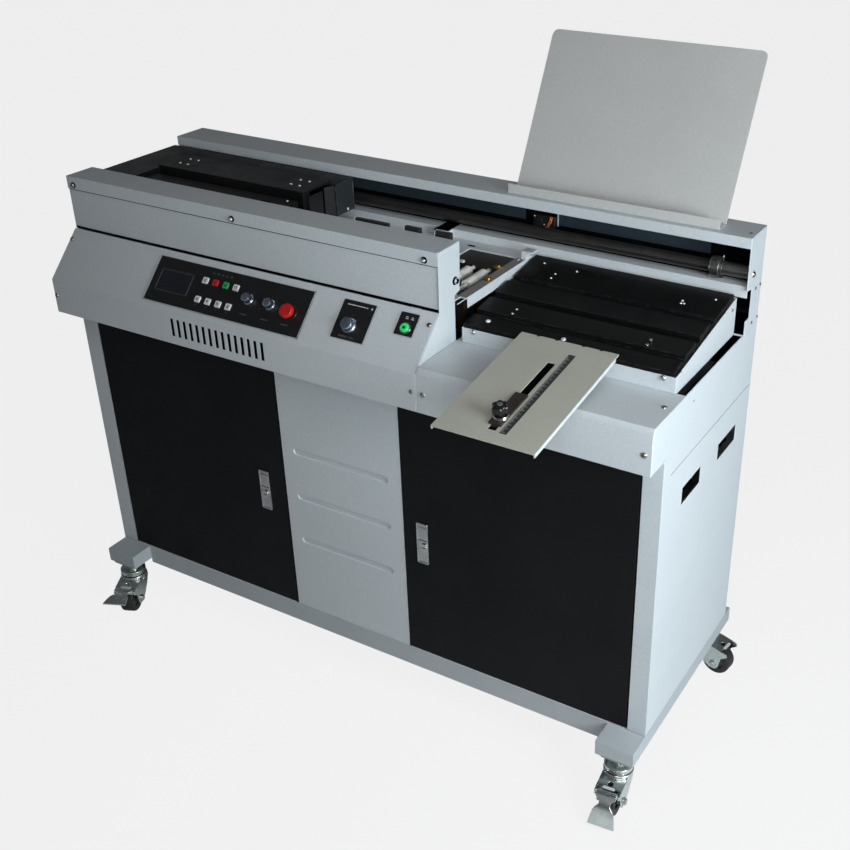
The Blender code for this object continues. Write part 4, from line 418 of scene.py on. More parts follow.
class Part:
    """A mesh under construction, placed by one matrix when it is done."""

    def __init__(self) -> None:
        """Starts an empty mesh."""
        self.mesh = bmesh.new()

    def box(self, low: Point, high: Point) -> "Part":
        """Adds a closed box between two corners.

        Args:
            low: the lowest corner.
            high: the highest corner.

        Returns:
            This part.
        """
        outline = ((low[0], low[1]), (high[0], low[1]), (high[0], high[1]), (low[0], high[1]))
        return self.prism(outline, low[2], high[2])

    def boxes(self, rows: Iterable[Point]) -> "Part":
        """Adds a closed box for each row of six numbers.

        Args:
            rows: the boxes, each with its lowest corner first.

        Returns:
            This part.
        """
        for row in rows:
            self.box(row[:3], row[3:])
        return self

    def prism(self, outline: Iterable[Point], low: float, high: float) -> "Part":
        """Adds an outline in x and y, counted anticlockwise, raised from low to high.

        Args:
            outline: the corners.
            low: the lower height.
            high: the upper height.

        Returns:
            This part.
        """
        points = list(outline)
        return self.loft([[(x, y, low) for x, y in points], [(x, y, high) for x, y in points]])

    def loft(self, rings: Sequence[Points]) -> "Part":
        """Adds a closed body through rings of points, capped at both ends.

        Args:
            rings: rings with the same count of points, the lowest first.

        Returns:
            This part.
        """
        loops = [[self.mesh.verts.new(point) for point in ring] for ring in rings]
        for low, high in zip(loops, loops[1:]):
            for index in range(len(low)):
                after = (index + 1) % len(low)
                self.mesh.faces.new((low[index], low[after], high[after], high[index]))
        self.mesh.faces.new(list(reversed(loops[0])))
        self.mesh.faces.new(loops[-1])
        return self

    def turned(self, profile: Iterable[Point], sides: int = 24, centre: Point = (0.0, 0.0)) -> "Part":
        """Adds a body turned round an upright axis.

        Args:
            profile: radius and height of each step, the lowest first; none has a radius of zero.
            sides: faces round the axis.
            centre: place of the axis in x and y.

        Returns:
            This part.
        """
        rings = []
        for radius, height in profile:
            rings.append([(centre[0] + radius * math.cos(math.tau * i / sides),
                           centre[1] + radius * math.sin(math.tau * i / sides), height)
                           for i in range(sides)])
        return self.loft(rings)

    def ring(self, outer: Points, sides: int = 24, centre: Point = (0.0, 0.0)) -> "Part":
        """Adds a closed ring, from a closed profile turned round an upright axis.

        Args:
            outer: radius and height of each corner of the section, anticlockwise.
            sides: faces round the axis.
            centre: place of the axis in x and y.

        Returns:
            This part.
        """
        loops = []
        for i in range(sides):
            angle = math.tau * i / sides
            loops.append([self.mesh.verts.new((centre[0] + radius * math.cos(angle),
                                               centre[1] + radius * math.sin(angle), height))
                          for radius, height in outer])
        for i, loop in enumerate(loops):
            after = loops[(i + 1) % sides]
            for j in range(len(loop)):
                k = (j + 1) % len(loop)
                self.mesh.faces.new((loop[j], after[j], after[k], loop[k]))
        return self

    def rim(self, outer: Points, inner: Points, low: float, high: float) -> "Part":
        """Adds a closed frame between two outlines with the same count of corners.

        Args:
            outer: the outer corners.
            inner: the inner corners, each opposite an outer one.
            low: the lower height.
            high: the upper height.

        Returns:
            This part.
        """
        rings = [[self.mesh.verts.new((x, y, z)) for x, y in outline]
                 for outline, z in ((outer, low), (outer, high), (inner, high), (inner, low))]
        for lower, upper in zip(rings, rings[1:] + rings[:1]):
            for i in range(len(lower)):
                j = (i + 1) % len(lower)
                self.mesh.faces.new((lower[i], lower[j], upper[j], upper[i]))
        return self

    def moved(self, matrix: Matrix) -> "Part":
        """Turns and moves what is there so far."""
        self.mesh.transform(matrix)
        return self

    def join(self, other: "Part") -> "Part":
        """Takes over the mesh of another part.

        Args:
            other: the part that is used up.

        Returns:
            This part.
        """
        spare = bpy.data.meshes.new("spare")
        other.mesh.to_mesh(spare)
        other.mesh.free()
        self.mesh.from_mesh(spare)
        bpy.data.meshes.remove(spare)
        return self

    def object(self, name: str, smooth: float = 32.0) -> bpy.types.Object:
        """Closes the mesh and puts it in the scene.

        Args:
            name: the object's name.
            smooth: edges under this angle in degrees are shaded round.

        Returns:
            The object.
        """
        bmesh.ops.recalc_face_normals(self.mesh, faces=self.mesh.faces)
        mesh = bpy.data.meshes.new(name)
        self.mesh.to_mesh(mesh)
        self.mesh.free()
        mesh.shade_smooth()
        mesh.set_sharp_from_angle(angle=math.radians(smooth))
        return in_scene(name, mesh)


def rounded(low: Point, high: Point, radius: float, steps: int = 4) -> list[Point]:
    """Outline of a rectangle with round corners, anticlockwise.

    Args:
        low: the lower left corner.
        high: the upper right corner.
        radius: the corners' radius.
        steps: the edges in one corner.

    Returns:
        The corners.
    """
    points = []
    for x, y, start in ((high[0] - radius, low[1] + radius, -90.0), (high[0] - radius, high[1] - radius, 0.0),
                        (low[0] + radius, high[1] - radius, 90.0), (low[0] + radius, low[1] + radius, 180.0)):
        for step in range(steps + 1):
            angle = math.radians(start + 90.0 * step / steps)
            points.append((x + radius * math.cos(angle), y + radius * math.sin(angle)))
    return points


def circle_towards(outline: Points, centre: Point, radius: float) -> list[Point]:
    """Points of a circle, each in the direction of one corner of an outline.

    Args:
        outline: the corners.
        centre: the circle's centre.
        radius: its radius.

    Returns:
        The points.
    """
    points = []
    for x, y in outline:
        away = Vector((x - centre[0], y - centre[1])).normalized() * radius
        points.append((centre[0] + away.x, centre[1] + away.y))
    return points


def line_frame(low: Point, high: Point, radius: float, width: float) -> tuple[list[Point], list[Point]]:
    """Outer and inner outline of a thin line round a rectangle with round corners.

    Args:
        low: the rectangle's lowest corner in x and y.
        high: its highest corner.
        radius: the outer corners' radius.
        width: the line's width.

    Returns:
        The two outlines, anticlockwise.
    """
    inner_low = (low[0] + width, low[1] + width)
    inner_high = (high[0] - width, high[1] - width)
    return rounded(low, high, radius), rounded(inner_low, inner_high, max(radius - width, 0.0002))


def baked(source: bpy.types.Object, name: str) -> bpy.types.Object:
    """Turns an object with modifiers into a plain mesh and removes the source.

    Args:
        source: the object with live modifiers.
        name: the name of the result.

    Returns:
        The plain object, at the origin.
    """
    bpy.context.view_layer.update()
    graph = bpy.context.evaluated_depsgraph_get()
    mesh = bpy.data.meshes.new_from_object(source.evaluated_get(graph), depsgraph=graph)
    source.modifiers.clear()
    bpy.data.objects.remove(source)
    mesh.name = name
    return in_scene(name, mesh)


def softened(source: bpy.types.Object, width: float, segments: int = 2) -> bpy.types.Object:
    """Rounds the sharp edges of an object.

    Args:
        source: the object, which is used up.
        width: the width of the rounding.
        segments: the faces across it.

    Returns:
        The plain object with the same name.
    """
    name = source.name
    source.name = name + "_raw"
    source.data.shade_smooth()
    bevel = source.modifiers.new("edges", "BEVEL")
    bevel.width = width
    bevel.segments = segments
    bevel.limit_method = "ANGLE"
    bevel.angle_limit = math.radians(34.0)
    bevel.use_clamp_overlap = False
    flat = source.modifiers.new("flat_faces", "WEIGHTED_NORMAL")
    flat.weight = 100
    flat.keep_sharp = True
    return baked(source, name)


def dress(piece: bpy.types.Object, finish: Finish, body: str, *nodes: str) -> bpy.types.Object:
    """Gives a piece its finish and the body that it moves with.

    Args:
        piece: the finished mesh.
        finish: its surface.
        body: the CAD body that it rides on.
        nodes: the CAD nodes that it stands for.

    Returns:
        The piece.
    """
    piece.data.materials.clear()
    piece.data.materials.append(finish.material())
    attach(piece, body)
    if nodes:
        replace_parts(piece, *nodes)
    return piece


def skin(node: str, finish: Finish, width: float = 0.0008, segments: int = 2) -> bpy.types.Object:
    """Stands for a CAD node with the same form and softened edges.

    Args:
        node: the CAD node.
        finish: its surface.
        width: the width of the edge rounding.
        segments: the faces across the rounding.

    Returns:
        The piece, riding on the node's body.
    """
    shape = bmesh.new()
    shape.from_mesh(frame["nodes"][node].data)
    bmesh.ops.remove_doubles(shape, verts=shape.verts, dist=0.00001)
    bmesh.ops.dissolve_limit(shape, angle_limit=math.radians(0.6), verts=shape.verts, edges=shape.edges)
    mesh = bpy.data.meshes.new(node + "_skin")
    shape.to_mesh(mesh)
    shape.free()
    mesh.shade_smooth()
    return dress(softened(in_scene(node + "_skin", mesh), width, segments), finish, BODY_OF[node], node)


def upright(origin: Point, facing: Point, across: Point = (1.0, 0.0, 0.0)) -> Matrix:
    """Returns the matrix that stands local z along facing and local x near across.

    Args:
        origin: where the local origin goes.
        facing: the direction of local z.
        across: the direction that local x keeps to.

    Returns:
        The matrix.
    """
    up = Vector(facing).normalized()
    side = (Vector(across) - up * Vector(across).dot(up)).normalized()
    matrix = Matrix((side, up.cross(side), up)).transposed().to_4x4()
    matrix.translation = Vector(origin)
    return matrix


def span(node: str, place: Matrix) -> tuple[Vector, Vector]:
    """Lowest and highest corner of a CAD node in the axes of a placement.

    Args:
        node: the CAD node.
        place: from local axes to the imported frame.

    Returns:
        The two corners.
    """
    back = place.inverted()
    points = [back @ vertex.co for vertex in frame["nodes"][node].data.vertices]
    return (Vector([min(point[axis] for point in points) for axis in range(3)]),
            Vector([max(point[axis] for point in points) for axis in range(3)]))


def middle_of(node: str, place: Matrix, height: Optional[float] = None) -> Matrix:
    """Placement over the middle of a node, along the given axes.

    Args:
        node: the CAD node.
        place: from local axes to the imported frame.
        height: the local height, or None for the node's outer face.

    Returns:
        The matrix.
    """
    low, high = span(node, place)
    level = high.z if height is None else height
    return place @ Matrix.Translation(((low.x + high.x) / 2, (low.y + high.y) / 2, level))


def add(name: str, finish: Finish, body: str, part: Part, place: Optional[Matrix] = None,
        width: float = 0.0) -> bpy.types.Object:
    """Makes a dressed piece from a part.

    Args:
        name: the piece's name.
        finish: its surface.
        body: the body that it rides on.
        part: the part, which is used up.
        place: from the part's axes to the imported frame.
        width: the width of the edge rounding, if any.

    Returns:
        The piece.
    """
    if place is not None:
        part.moved(place)
    made = part.object(name)
    if width > 0.0:
        made = softened(made, width)
    return dress(made, finish, body)


SLOPE_ANGLE = math.radians(46.11)
TABLE_ANGLE = math.radians(8.5)
SLOPE = upright(machine(0.0, -0.0554, 0.6412), (0.0, -math.sin(SLOPE_ANGLE), math.cos(SLOPE_ANGLE)))
TABLE = upright(machine(0.0, 0.070, 0.682), (0.0, -math.sin(TABLE_ANGLE), math.cos(TABLE_ANGLE)))
FRONT = upright(machine(0.0, 0.0, 0.0), (0.0, -1.0, 0.0))
RIGHT = upright(machine(1.280, 0.0, 0.0), (1.0, 0.0, 0.0), (0.0, 1.0, 0.0))
LEFT = upright(machine(0.0, 0.0, 0.0), (-1.0, 0.0, 0.0), (0.0, -1.0, 0.0))
BACK = upright(machine(0.0, 0.4027, 0.0), (0.0, 1.0, 0.0), (-1.0, 0.0, 0.0))
LEVEL = upright(machine(0.0, 0.0, 0.0), (0.0, 0.0, 1.0))


def on(place: Matrix, x: float, y: float, out: float, radius: float) -> "Fastener":
    """Returns a screw on a face, given in the face's own axes."""
    return Fastener(place @ Vector((x, y, out)), place.to_3x3() @ Vector((0.0, 0.0, 1.0)), radius)


class Nodes:
    """A Geometry Nodes tree with named inputs, ending in Realize Instances and Set Material."""

    def __init__(self, name: str, sockets: dict[str, str]) -> None:
        """Makes the tree and its inputs.

        Args:
            name: the tree's name.
            sockets: socket type by input name.
        """
        self.tree = bpy.data.node_groups.new(name, "GeometryNodeTree")
        self.graph = Graph(self.tree)
        face = self.tree.interface
        face.new_socket("Geometry", in_out="INPUT", socket_type="NodeSocketGeometry")
        self.keys = {key: face.new_socket(key, in_out="INPUT", socket_type="NodeSocket" + kind).identifier
                     for key, kind in {**sockets, "Finish": "Material"}.items()}
        face.new_socket("Geometry", in_out="OUTPUT", socket_type="NodeSocketGeometry")
        self.input = self.graph.add("NodeGroupInput").outputs

    def end(self, geometry: Any) -> None:
        """Realizes the instances, sets the material and closes the tree.

        Args:
            geometry: the socket with the finished geometry.
        """
        real = self.graph.add("GeometryNodeRealizeInstances", {0: geometry})
        done = self.graph.add("GeometryNodeSetMaterial", {
            0: real.outputs[0], "Material": self.input["Finish"]})
        self.graph.link(done.outputs[0], self.graph.add("NodeGroupOutput").inputs[0])

    def grow(self, name: str, finish: Finish, source: bpy.types.Object, **values: Any) -> bpy.types.Object:
        """Runs the tree on an object and keeps the result as a plain mesh.

        Args:
            name: the result's name.
            finish: its surface.
            source: the object that the tree reads, which is used up.
            values: input values, with underscores for spaces.

        Returns:
            The plain object.
        """
        modifier = source.modifiers.new("grow", "NODES")
        modifier.node_group = self.tree
        modifier[self.keys["Finish"]] = finish.material()
        for key, value in values.items():
            modifier[self.keys[key.replace("_", " ")]] = value
        made = baked(source, name)
        made.data.shade_smooth()
        made.data.set_sharp_from_angle(angle=math.radians(32.0))
        return made


def scatter_nodes() -> Nodes:
    """Tree that sets a part on points that carry a facing and a size, each turned by chance.

    Returns:
        The tree.
    """
    made = Nodes("fasteners_on_points", {"Part": "Object", "Seed": "Int"})
    graph = made.graph
    facing = graph.add("GeometryNodeInputNamedAttribute", {"Name": "facing"}, data_type="FLOAT_VECTOR")
    size = graph.add("GeometryNodeInputNamedAttribute", {"Name": "size"}, data_type="FLOAT")
    stand = graph.add("FunctionNodeAlignRotationToVector", {"Vector": facing.outputs[0]}, axis="Z")
    chance = graph.add("FunctionNodeRandomValue", {"Seed": made.input["Seed"]}, data_type="FLOAT")
    chance.inputs[3].default_value = math.tau
    turn = graph.add("FunctionNodeAxisAngleToRotation", {"Angle": chance.outputs[1]})
    both = graph.add("FunctionNodeRotateRotation", {0: stand.outputs[0], 1: turn.outputs[0]},
                     rotation_space="LOCAL")
    part = graph.add("GeometryNodeObjectInfo", {"Object": made.input["Part"]})
    placed = graph.add("GeometryNodeInstanceOnPoints", {
        "Points": made.input["Geometry"], "Instance": part.outputs["Geometry"],
        "Rotation": both.outputs[0], "Scale": size.outputs[0]})
    made.end(placed.outputs[0])
    return made


def row_nodes() -> Nodes:
    """Tree that repeats a part along a straight line.

    Returns:
        The tree.
    """
    made = Nodes("parts_in_a_row", {"Part": "Object", "Count": "Int", "Step": "Vector"})
    graph = made.graph
    line = graph.add("GeometryNodeMeshLine", {"Count": made.input["Count"], "Offset": made.input["Step"]},
                     mode="OFFSET")
    part = graph.add("GeometryNodeObjectInfo", {"Object": made.input["Part"]})
    placed = graph.add("GeometryNodeInstanceOnPoints", {
        "Points": line.outputs[0], "Instance": part.outputs["Geometry"]})
    made.end(placed.outputs[0])
    return made


def ring_nodes() -> Nodes:
    """Tree that repeats a part round the local z axis, from a first angle and with one step.

    Returns:
        The tree.
    """
    made = Nodes("parts_round_an_axis", {
        "Part": "Object", "Count": "Int", "First angle": "Float", "Angle step": "Float"})
    graph = made.graph
    line = graph.add("GeometryNodeMeshLine", {"Count": made.input["Count"], "Offset": (0.0, 0.0, 0.0)},
                     mode="OFFSET")
    index = graph.add("GeometryNodeInputIndex")
    angle = graph.add("ShaderNodeMath", {
        0: index.outputs[0], 1: made.input["Angle step"], 2: made.input["First angle"]},
        operation="MULTIPLY_ADD")
    turn = graph.add("FunctionNodeAxisAngleToRotation", {"Angle": angle.outputs[0]})
    part = graph.add("GeometryNodeObjectInfo", {"Object": made.input["Part"]})
    placed = graph.add("GeometryNodeInstanceOnPoints", {
        "Points": line.outputs[0], "Instance": part.outputs["Geometry"], "Rotation": turn.outputs[0]})
    made.end(placed.outputs[0])
    return made


def tube_nodes() -> Nodes:
    """Tree that runs a round tube along a curve.

    Returns:
        The tree.
    """
    made = Nodes("tube_on_a_curve", {"Radius": "Float", "Sides": "Int"})
    graph = made.graph
    section = graph.add("GeometryNodeCurvePrimitiveCircle", {
        "Resolution": made.input["Sides"], "Radius": made.input["Radius"]})
    tube = graph.add("GeometryNodeCurveToMesh", {
        "Curve": made.input["Geometry"], "Profile Curve": section.outputs[0], "Fill Caps": True})
    made.end(tube.outputs[0])
    return made


WIRE_SIDES = 8
SCATTER = scatter_nodes()
ROW = row_nodes()
RING = ring_nodes()
TUBE = tube_nodes()


def repeated(tree: Nodes, name: str, finish: Finish, body: str, part: Part, place: Matrix,
             **values: Any) -> bpy.types.Object:
    """Repeats a part with one of the trees.

    Args:
        tree: ROW or RING.
        name: the piece's name.
        finish: its surface.
        body: the body that it rides on.
        part: the part at the first place, which is used up.
        place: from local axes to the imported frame.
        values: the tree's other inputs, with underscores for spaces.

    Returns:
        The piece.
    """
    first = part.object(name + "_part")
    made = tree.grow(name, finish, in_scene(name + "_seed", bpy.data.meshes.new(name + "_seed")), Part=first,
                     **values)
    bpy.data.objects.remove(first)
    made.data.transform(place)
    return dress(made, finish, body)


def wire(name: str, finish: Finish, radius: float, points: Points) -> bpy.types.Object:
    """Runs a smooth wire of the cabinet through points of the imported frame.

    Args:
        name: the piece's name.
        finish: its surface.
        radius: the wire's radius.
        points: the points, in order.

    Returns:
        The piece.
    """
    curve = bpy.data.curves.new(name + "_path", "CURVE")
    curve.dimensions = "3D"
    spline = curve.splines.new("BEZIER")
    spline.bezier_points.add(len(points) - 1)
    for knot, point in zip(spline.bezier_points, points):
        knot.co = point
        knot.handle_left_type = knot.handle_right_type = "AUTO"
    curve.resolution_u = 6
    tube = TUBE.grow(name, finish, in_scene(name + "_path", curve), Radius=radius, Sides=WIRE_SIDES)
    return dress(tube, finish, "cabinet")


class Head(Enum):
    """Kinds of fastener head, drawn at a radius of one."""

    PAN = "domed head with a cross recess"
    SOCKET = "cylinder head with a hexagon socket"
    HEX = "hexagon nut on a washer"

    def part(self) -> bpy.types.Object:
        """Builds the head about the origin, standing on z = 0.

        Returns:
            The object, to be hidden or removed after use.
        """
        body = Part()
        if self is Head.PAN:
            body.turned(((1.0, -0.1), (1.0, 0.10), (0.88, 0.36), (0.62, 0.54), (0.30, 0.60)), 16)
            cut = Part().boxes(((-0.52, -0.11, 0.28, 0.52, 0.11, 0.9), (-0.11, -0.52, 0.28, 0.11, 0.52, 0.9)))
        elif self is Head.SOCKET:
            body.turned(((1.0, -0.1), (1.0, 0.85), (0.90, 1.0)), 16)
            cut = Part().turned(((0.5, 0.4), (0.5, 1.3)), 6)
        else:
            body.turned(((1.35, -0.1), (1.35, 0.12)), 20).turned(((1.0, 0.1), (1.0, 0.75), (0.86, 0.85)), 6)
            cut = Part().turned(((0.42, 0.95), (0.42, 1.0)), 12)
        head = body.object("head_raw")
        tool = cut.object("head_cut")
        if self is not Head.HEX:
            split = head.modifiers.new("cut", "BOOLEAN")
            split.operation = "DIFFERENCE"
            split.solver = "EXACT"
            split.use_self = True
            split.object = tool
        made = baked(head, "head_" + self.name.lower())
        bpy.data.objects.remove(tool)
        return made


@dataclass(frozen=True)
class Fastener:
    """One screw: where it sits, which way it faces and its head radius."""

    spot: Vector
    facing: Vector
    radius: float


def fasteners(name: str, finish: Finish, body: str, head: Head,
              items: Sequence[Fastener]) -> bpy.types.Object:
    """Sets a row of like screws on one body.

    Args:
        name: the piece's name.
        finish: its surface.
        body: the body that it rides on.
        head: the kind of head.
        items: the screws.

    Returns:
        The piece.
    """
    mesh = bpy.data.meshes.new(name + "_points")
    mesh.from_pydata([item.spot for item in items], [], [])
    mesh.attributes.new("facing", "FLOAT_VECTOR", "POINT")
    mesh.attributes.new("size", "FLOAT", "POINT")
    for index, item in enumerate(items):
        mesh.attributes["facing"].data[index].vector = item.facing
        mesh.attributes["size"].data[index].value = item.radius
    part = head.part()
    made = SCATTER.grow(name, finish, in_scene(name + "_points", mesh), Part=part, Seed=len(items))
    bpy.data.objects.remove(part)
    return dress(made, finish, body)


def seats(name: str, finish: Finish, items: Sequence[Fastener], section: Points) -> None:
    """Lays a ring round each of some screws of the cabinet.

    Args:
        name: the piece's name.
        finish: its surface.
        items: the screws.
        section: the corners of a ring's section, as a share of the head's radius and a height.
    """
    rings = Part()
    for item in items:
        tilt = item.facing.to_track_quat("Z", "Y").to_matrix().to_4x4()
        tilt.translation = item.spot
        ring = Part().ring([(item.radius * share, height) for share, height in section], 20)
        rings.join(ring.moved(tilt))
    add(name, finish, "cabinet", rings)


@dataclass(frozen=True)
class Lamp:
    """One soft square lamp: its place, what it faces, its side, power in watts, colour and beam angle."""

    name: str
    spot: Point
    target: Point
    size: float
    power: float
    tint: Colour
    spread: float = 180.0

    def hang(self) -> None:
        """Puts the lamp in the scene."""
        data = bpy.data.lights.new(self.name, "AREA")
        data.spread = math.radians(self.spread)
        data.shape = "SQUARE"
        data.size = self.size
        data.energy = self.power
        data.color = self.tint
        made = in_scene(self.name, data)
        made.location = self.spot
        made.rotation_euler = (Vector(self.target) - Vector(self.spot)).to_track_quat("-Z", "Y").to_euler()


def neutral(level: float) -> tuple[float, float, float, float]:
    """Returns an opaque colour without a tint."""
    return (level, level, level, 1.0)


COOL = (0.87, 0.955, 1.0)


@dataclass
class Studio:
    """Floor, lights, background and the photograph's camera."""

    eye: Point = (1.8485, -1.4789, 1.5101)
    yaw: float = 29.509
    pitch: float = -28.802
    focal_pixels: float = 1174.11
    centre_pixels: Point = (514.66, 418.79)
    frame_pixels: float = 850.0
    pale: float = 0.880
    even_light: float = 0.060
    floor_glow: float = 0.912
    floor_share: float = 0.93
    floor_half: float = 30.0
    horizon: Colour = (0.62, 0.65, 0.67)
    zenith: Colour = (0.085, 0.088, 0.092)
    lamps: Sequence[Lamp] = (
        Lamp("window_right", (1.80, -0.62, 1.10), (0.55, 0.0, 0.62), 0.8, 27.8, COOL),
        Lamp("high_right", (1.3, -1.3, 2.0), (0.35, 0.0, 0.8), 0.8, 5.0, (0.97, 0.99, 1.0)),
        Lamp("console_fill", (1.15, -1.40, 1.30), (0.15, -0.05, 0.96), 0.4, 0.33, COOL, 46.0),
        Lamp("front_fill", (1.9, -3.0, 1.9), (0.3, 0.0, 0.6), 2.2, 5.4, (1.0, 0.985, 0.955)),
        Lamp("rest_fill", (0.9, -1.2, 2.9), (0.4, 0.2, 1.1), 0.7, 6.0, (1.0, 0.98, 0.95)))

    def camera(self) -> None:
        """Puts the camera where the photograph was taken from."""
        data = bpy.data.cameras.new("photo_camera")
        data.sensor_width = 36.0
        data.lens = self.focal_pixels * data.sensor_width / self.frame_pixels
        half = self.frame_pixels / 2
        data.shift_x = (half - self.centre_pixels[0]) / self.frame_pixels
        data.shift_y = -(half - self.centre_pixels[1]) / self.frame_pixels
        made = in_scene("photo_camera", data)
        made.location = machine(*self.eye)
        made.rotation_euler = (math.radians(90.0 + self.pitch), 0.0, math.radians(self.yaw))
        bpy.context.scene.camera = made

    def mirror(self, graph: Graph) -> Any:
        """What polished faces see: a pale horizon that darkens upwards.

        Args:
            graph: the world's nodes.

        Returns:
            The background shader's socket.
        """
        towards = graph.add("ShaderNodeNewGeometry").outputs["Incoming"]
        height = graph.add("ShaderNodeSeparateXYZ", {0: towards}).outputs["Z"]
        share = graph.add("ShaderNodeMapRange", {
            "Value": height, "From Min": 0.0, "From Max": -0.24, "To Min": 1.0, "To Max": 0.0})
        colour = graph.add("ShaderNodeMix", {
            "Factor": share.outputs["Result"], 6: (*self.zenith, 1.0), 7: (*self.horizon, 1.0)},
            data_type="RGBA")
        return graph.add("ShaderNodeBackground", {"Color": colour.outputs[2]}).outputs[0]

    def world(self) -> None:
        """Pale background for the camera, a graded one for reflections and a weaker even light."""
        made = bpy.data.worlds.new("pale_room")
        graph = fresh_graph(made)
        path = graph.add("ShaderNodeLightPath")
        seen = graph.add("ShaderNodeMath", {0: path.outputs["Is Camera Ray"],
                                            1: path.outputs["Is Transmission Ray"]}, operation="MAXIMUM")
        pale = graph.add("ShaderNodeBackground", {"Color": neutral(self.pale)})
        even = graph.add("ShaderNodeBackground", {"Color": neutral(self.even_light)})
        lit = graph.add("ShaderNodeMixShader", {
            0: path.outputs["Is Glossy Ray"], 1: even.outputs[0], 2: self.mirror(graph)})
        both = graph.add("ShaderNodeMixShader", {0: seen.outputs[0], 1: lit.outputs[0], 2: pale.outputs[0]})
        graph.link(both.outputs[0], graph.add("ShaderNodeOutputWorld").inputs["Surface"])
        bpy.context.scene.world = made

    def floor(self) -> None:
        """Plain pale floor that keeps the object's shadow."""
        half = self.floor_half
        made = Part().box((-half, -half, -0.02), (half, half, 0.0)).object("studio_floor")
        material = bpy.data.materials.new("studio_floor")
        graph = fresh_graph(material)
        path = graph.add("ShaderNodeLightPath")
        matt = graph.add("ShaderNodeBsdfDiffuse", {"Color": neutral(self.pale)})
        light = graph.add("ShaderNodeEmission", {"Color": neutral(self.floor_glow)})
        share = graph.add("ShaderNodeMath", {
            0: path.outputs["Is Camera Ray"], 1: self.floor_share}, operation="MULTIPLY")
        both = graph.add("ShaderNodeMixShader", {
            0: share.outputs[0], 1: matt.outputs[0], 2: light.outputs[0]})
        graph.link(both.outputs[0], graph.add("ShaderNodeOutputMaterial").inputs["Surface"])
        made.data.materials.append(material)

    def build(self) -> None:
        """Builds the whole studio."""
        self.camera()
        self.world()
        self.floor()
        for lamp in self.lamps:
            lamp.hang()
        bpy.context.scene.view_settings.view_transform = "Standard"


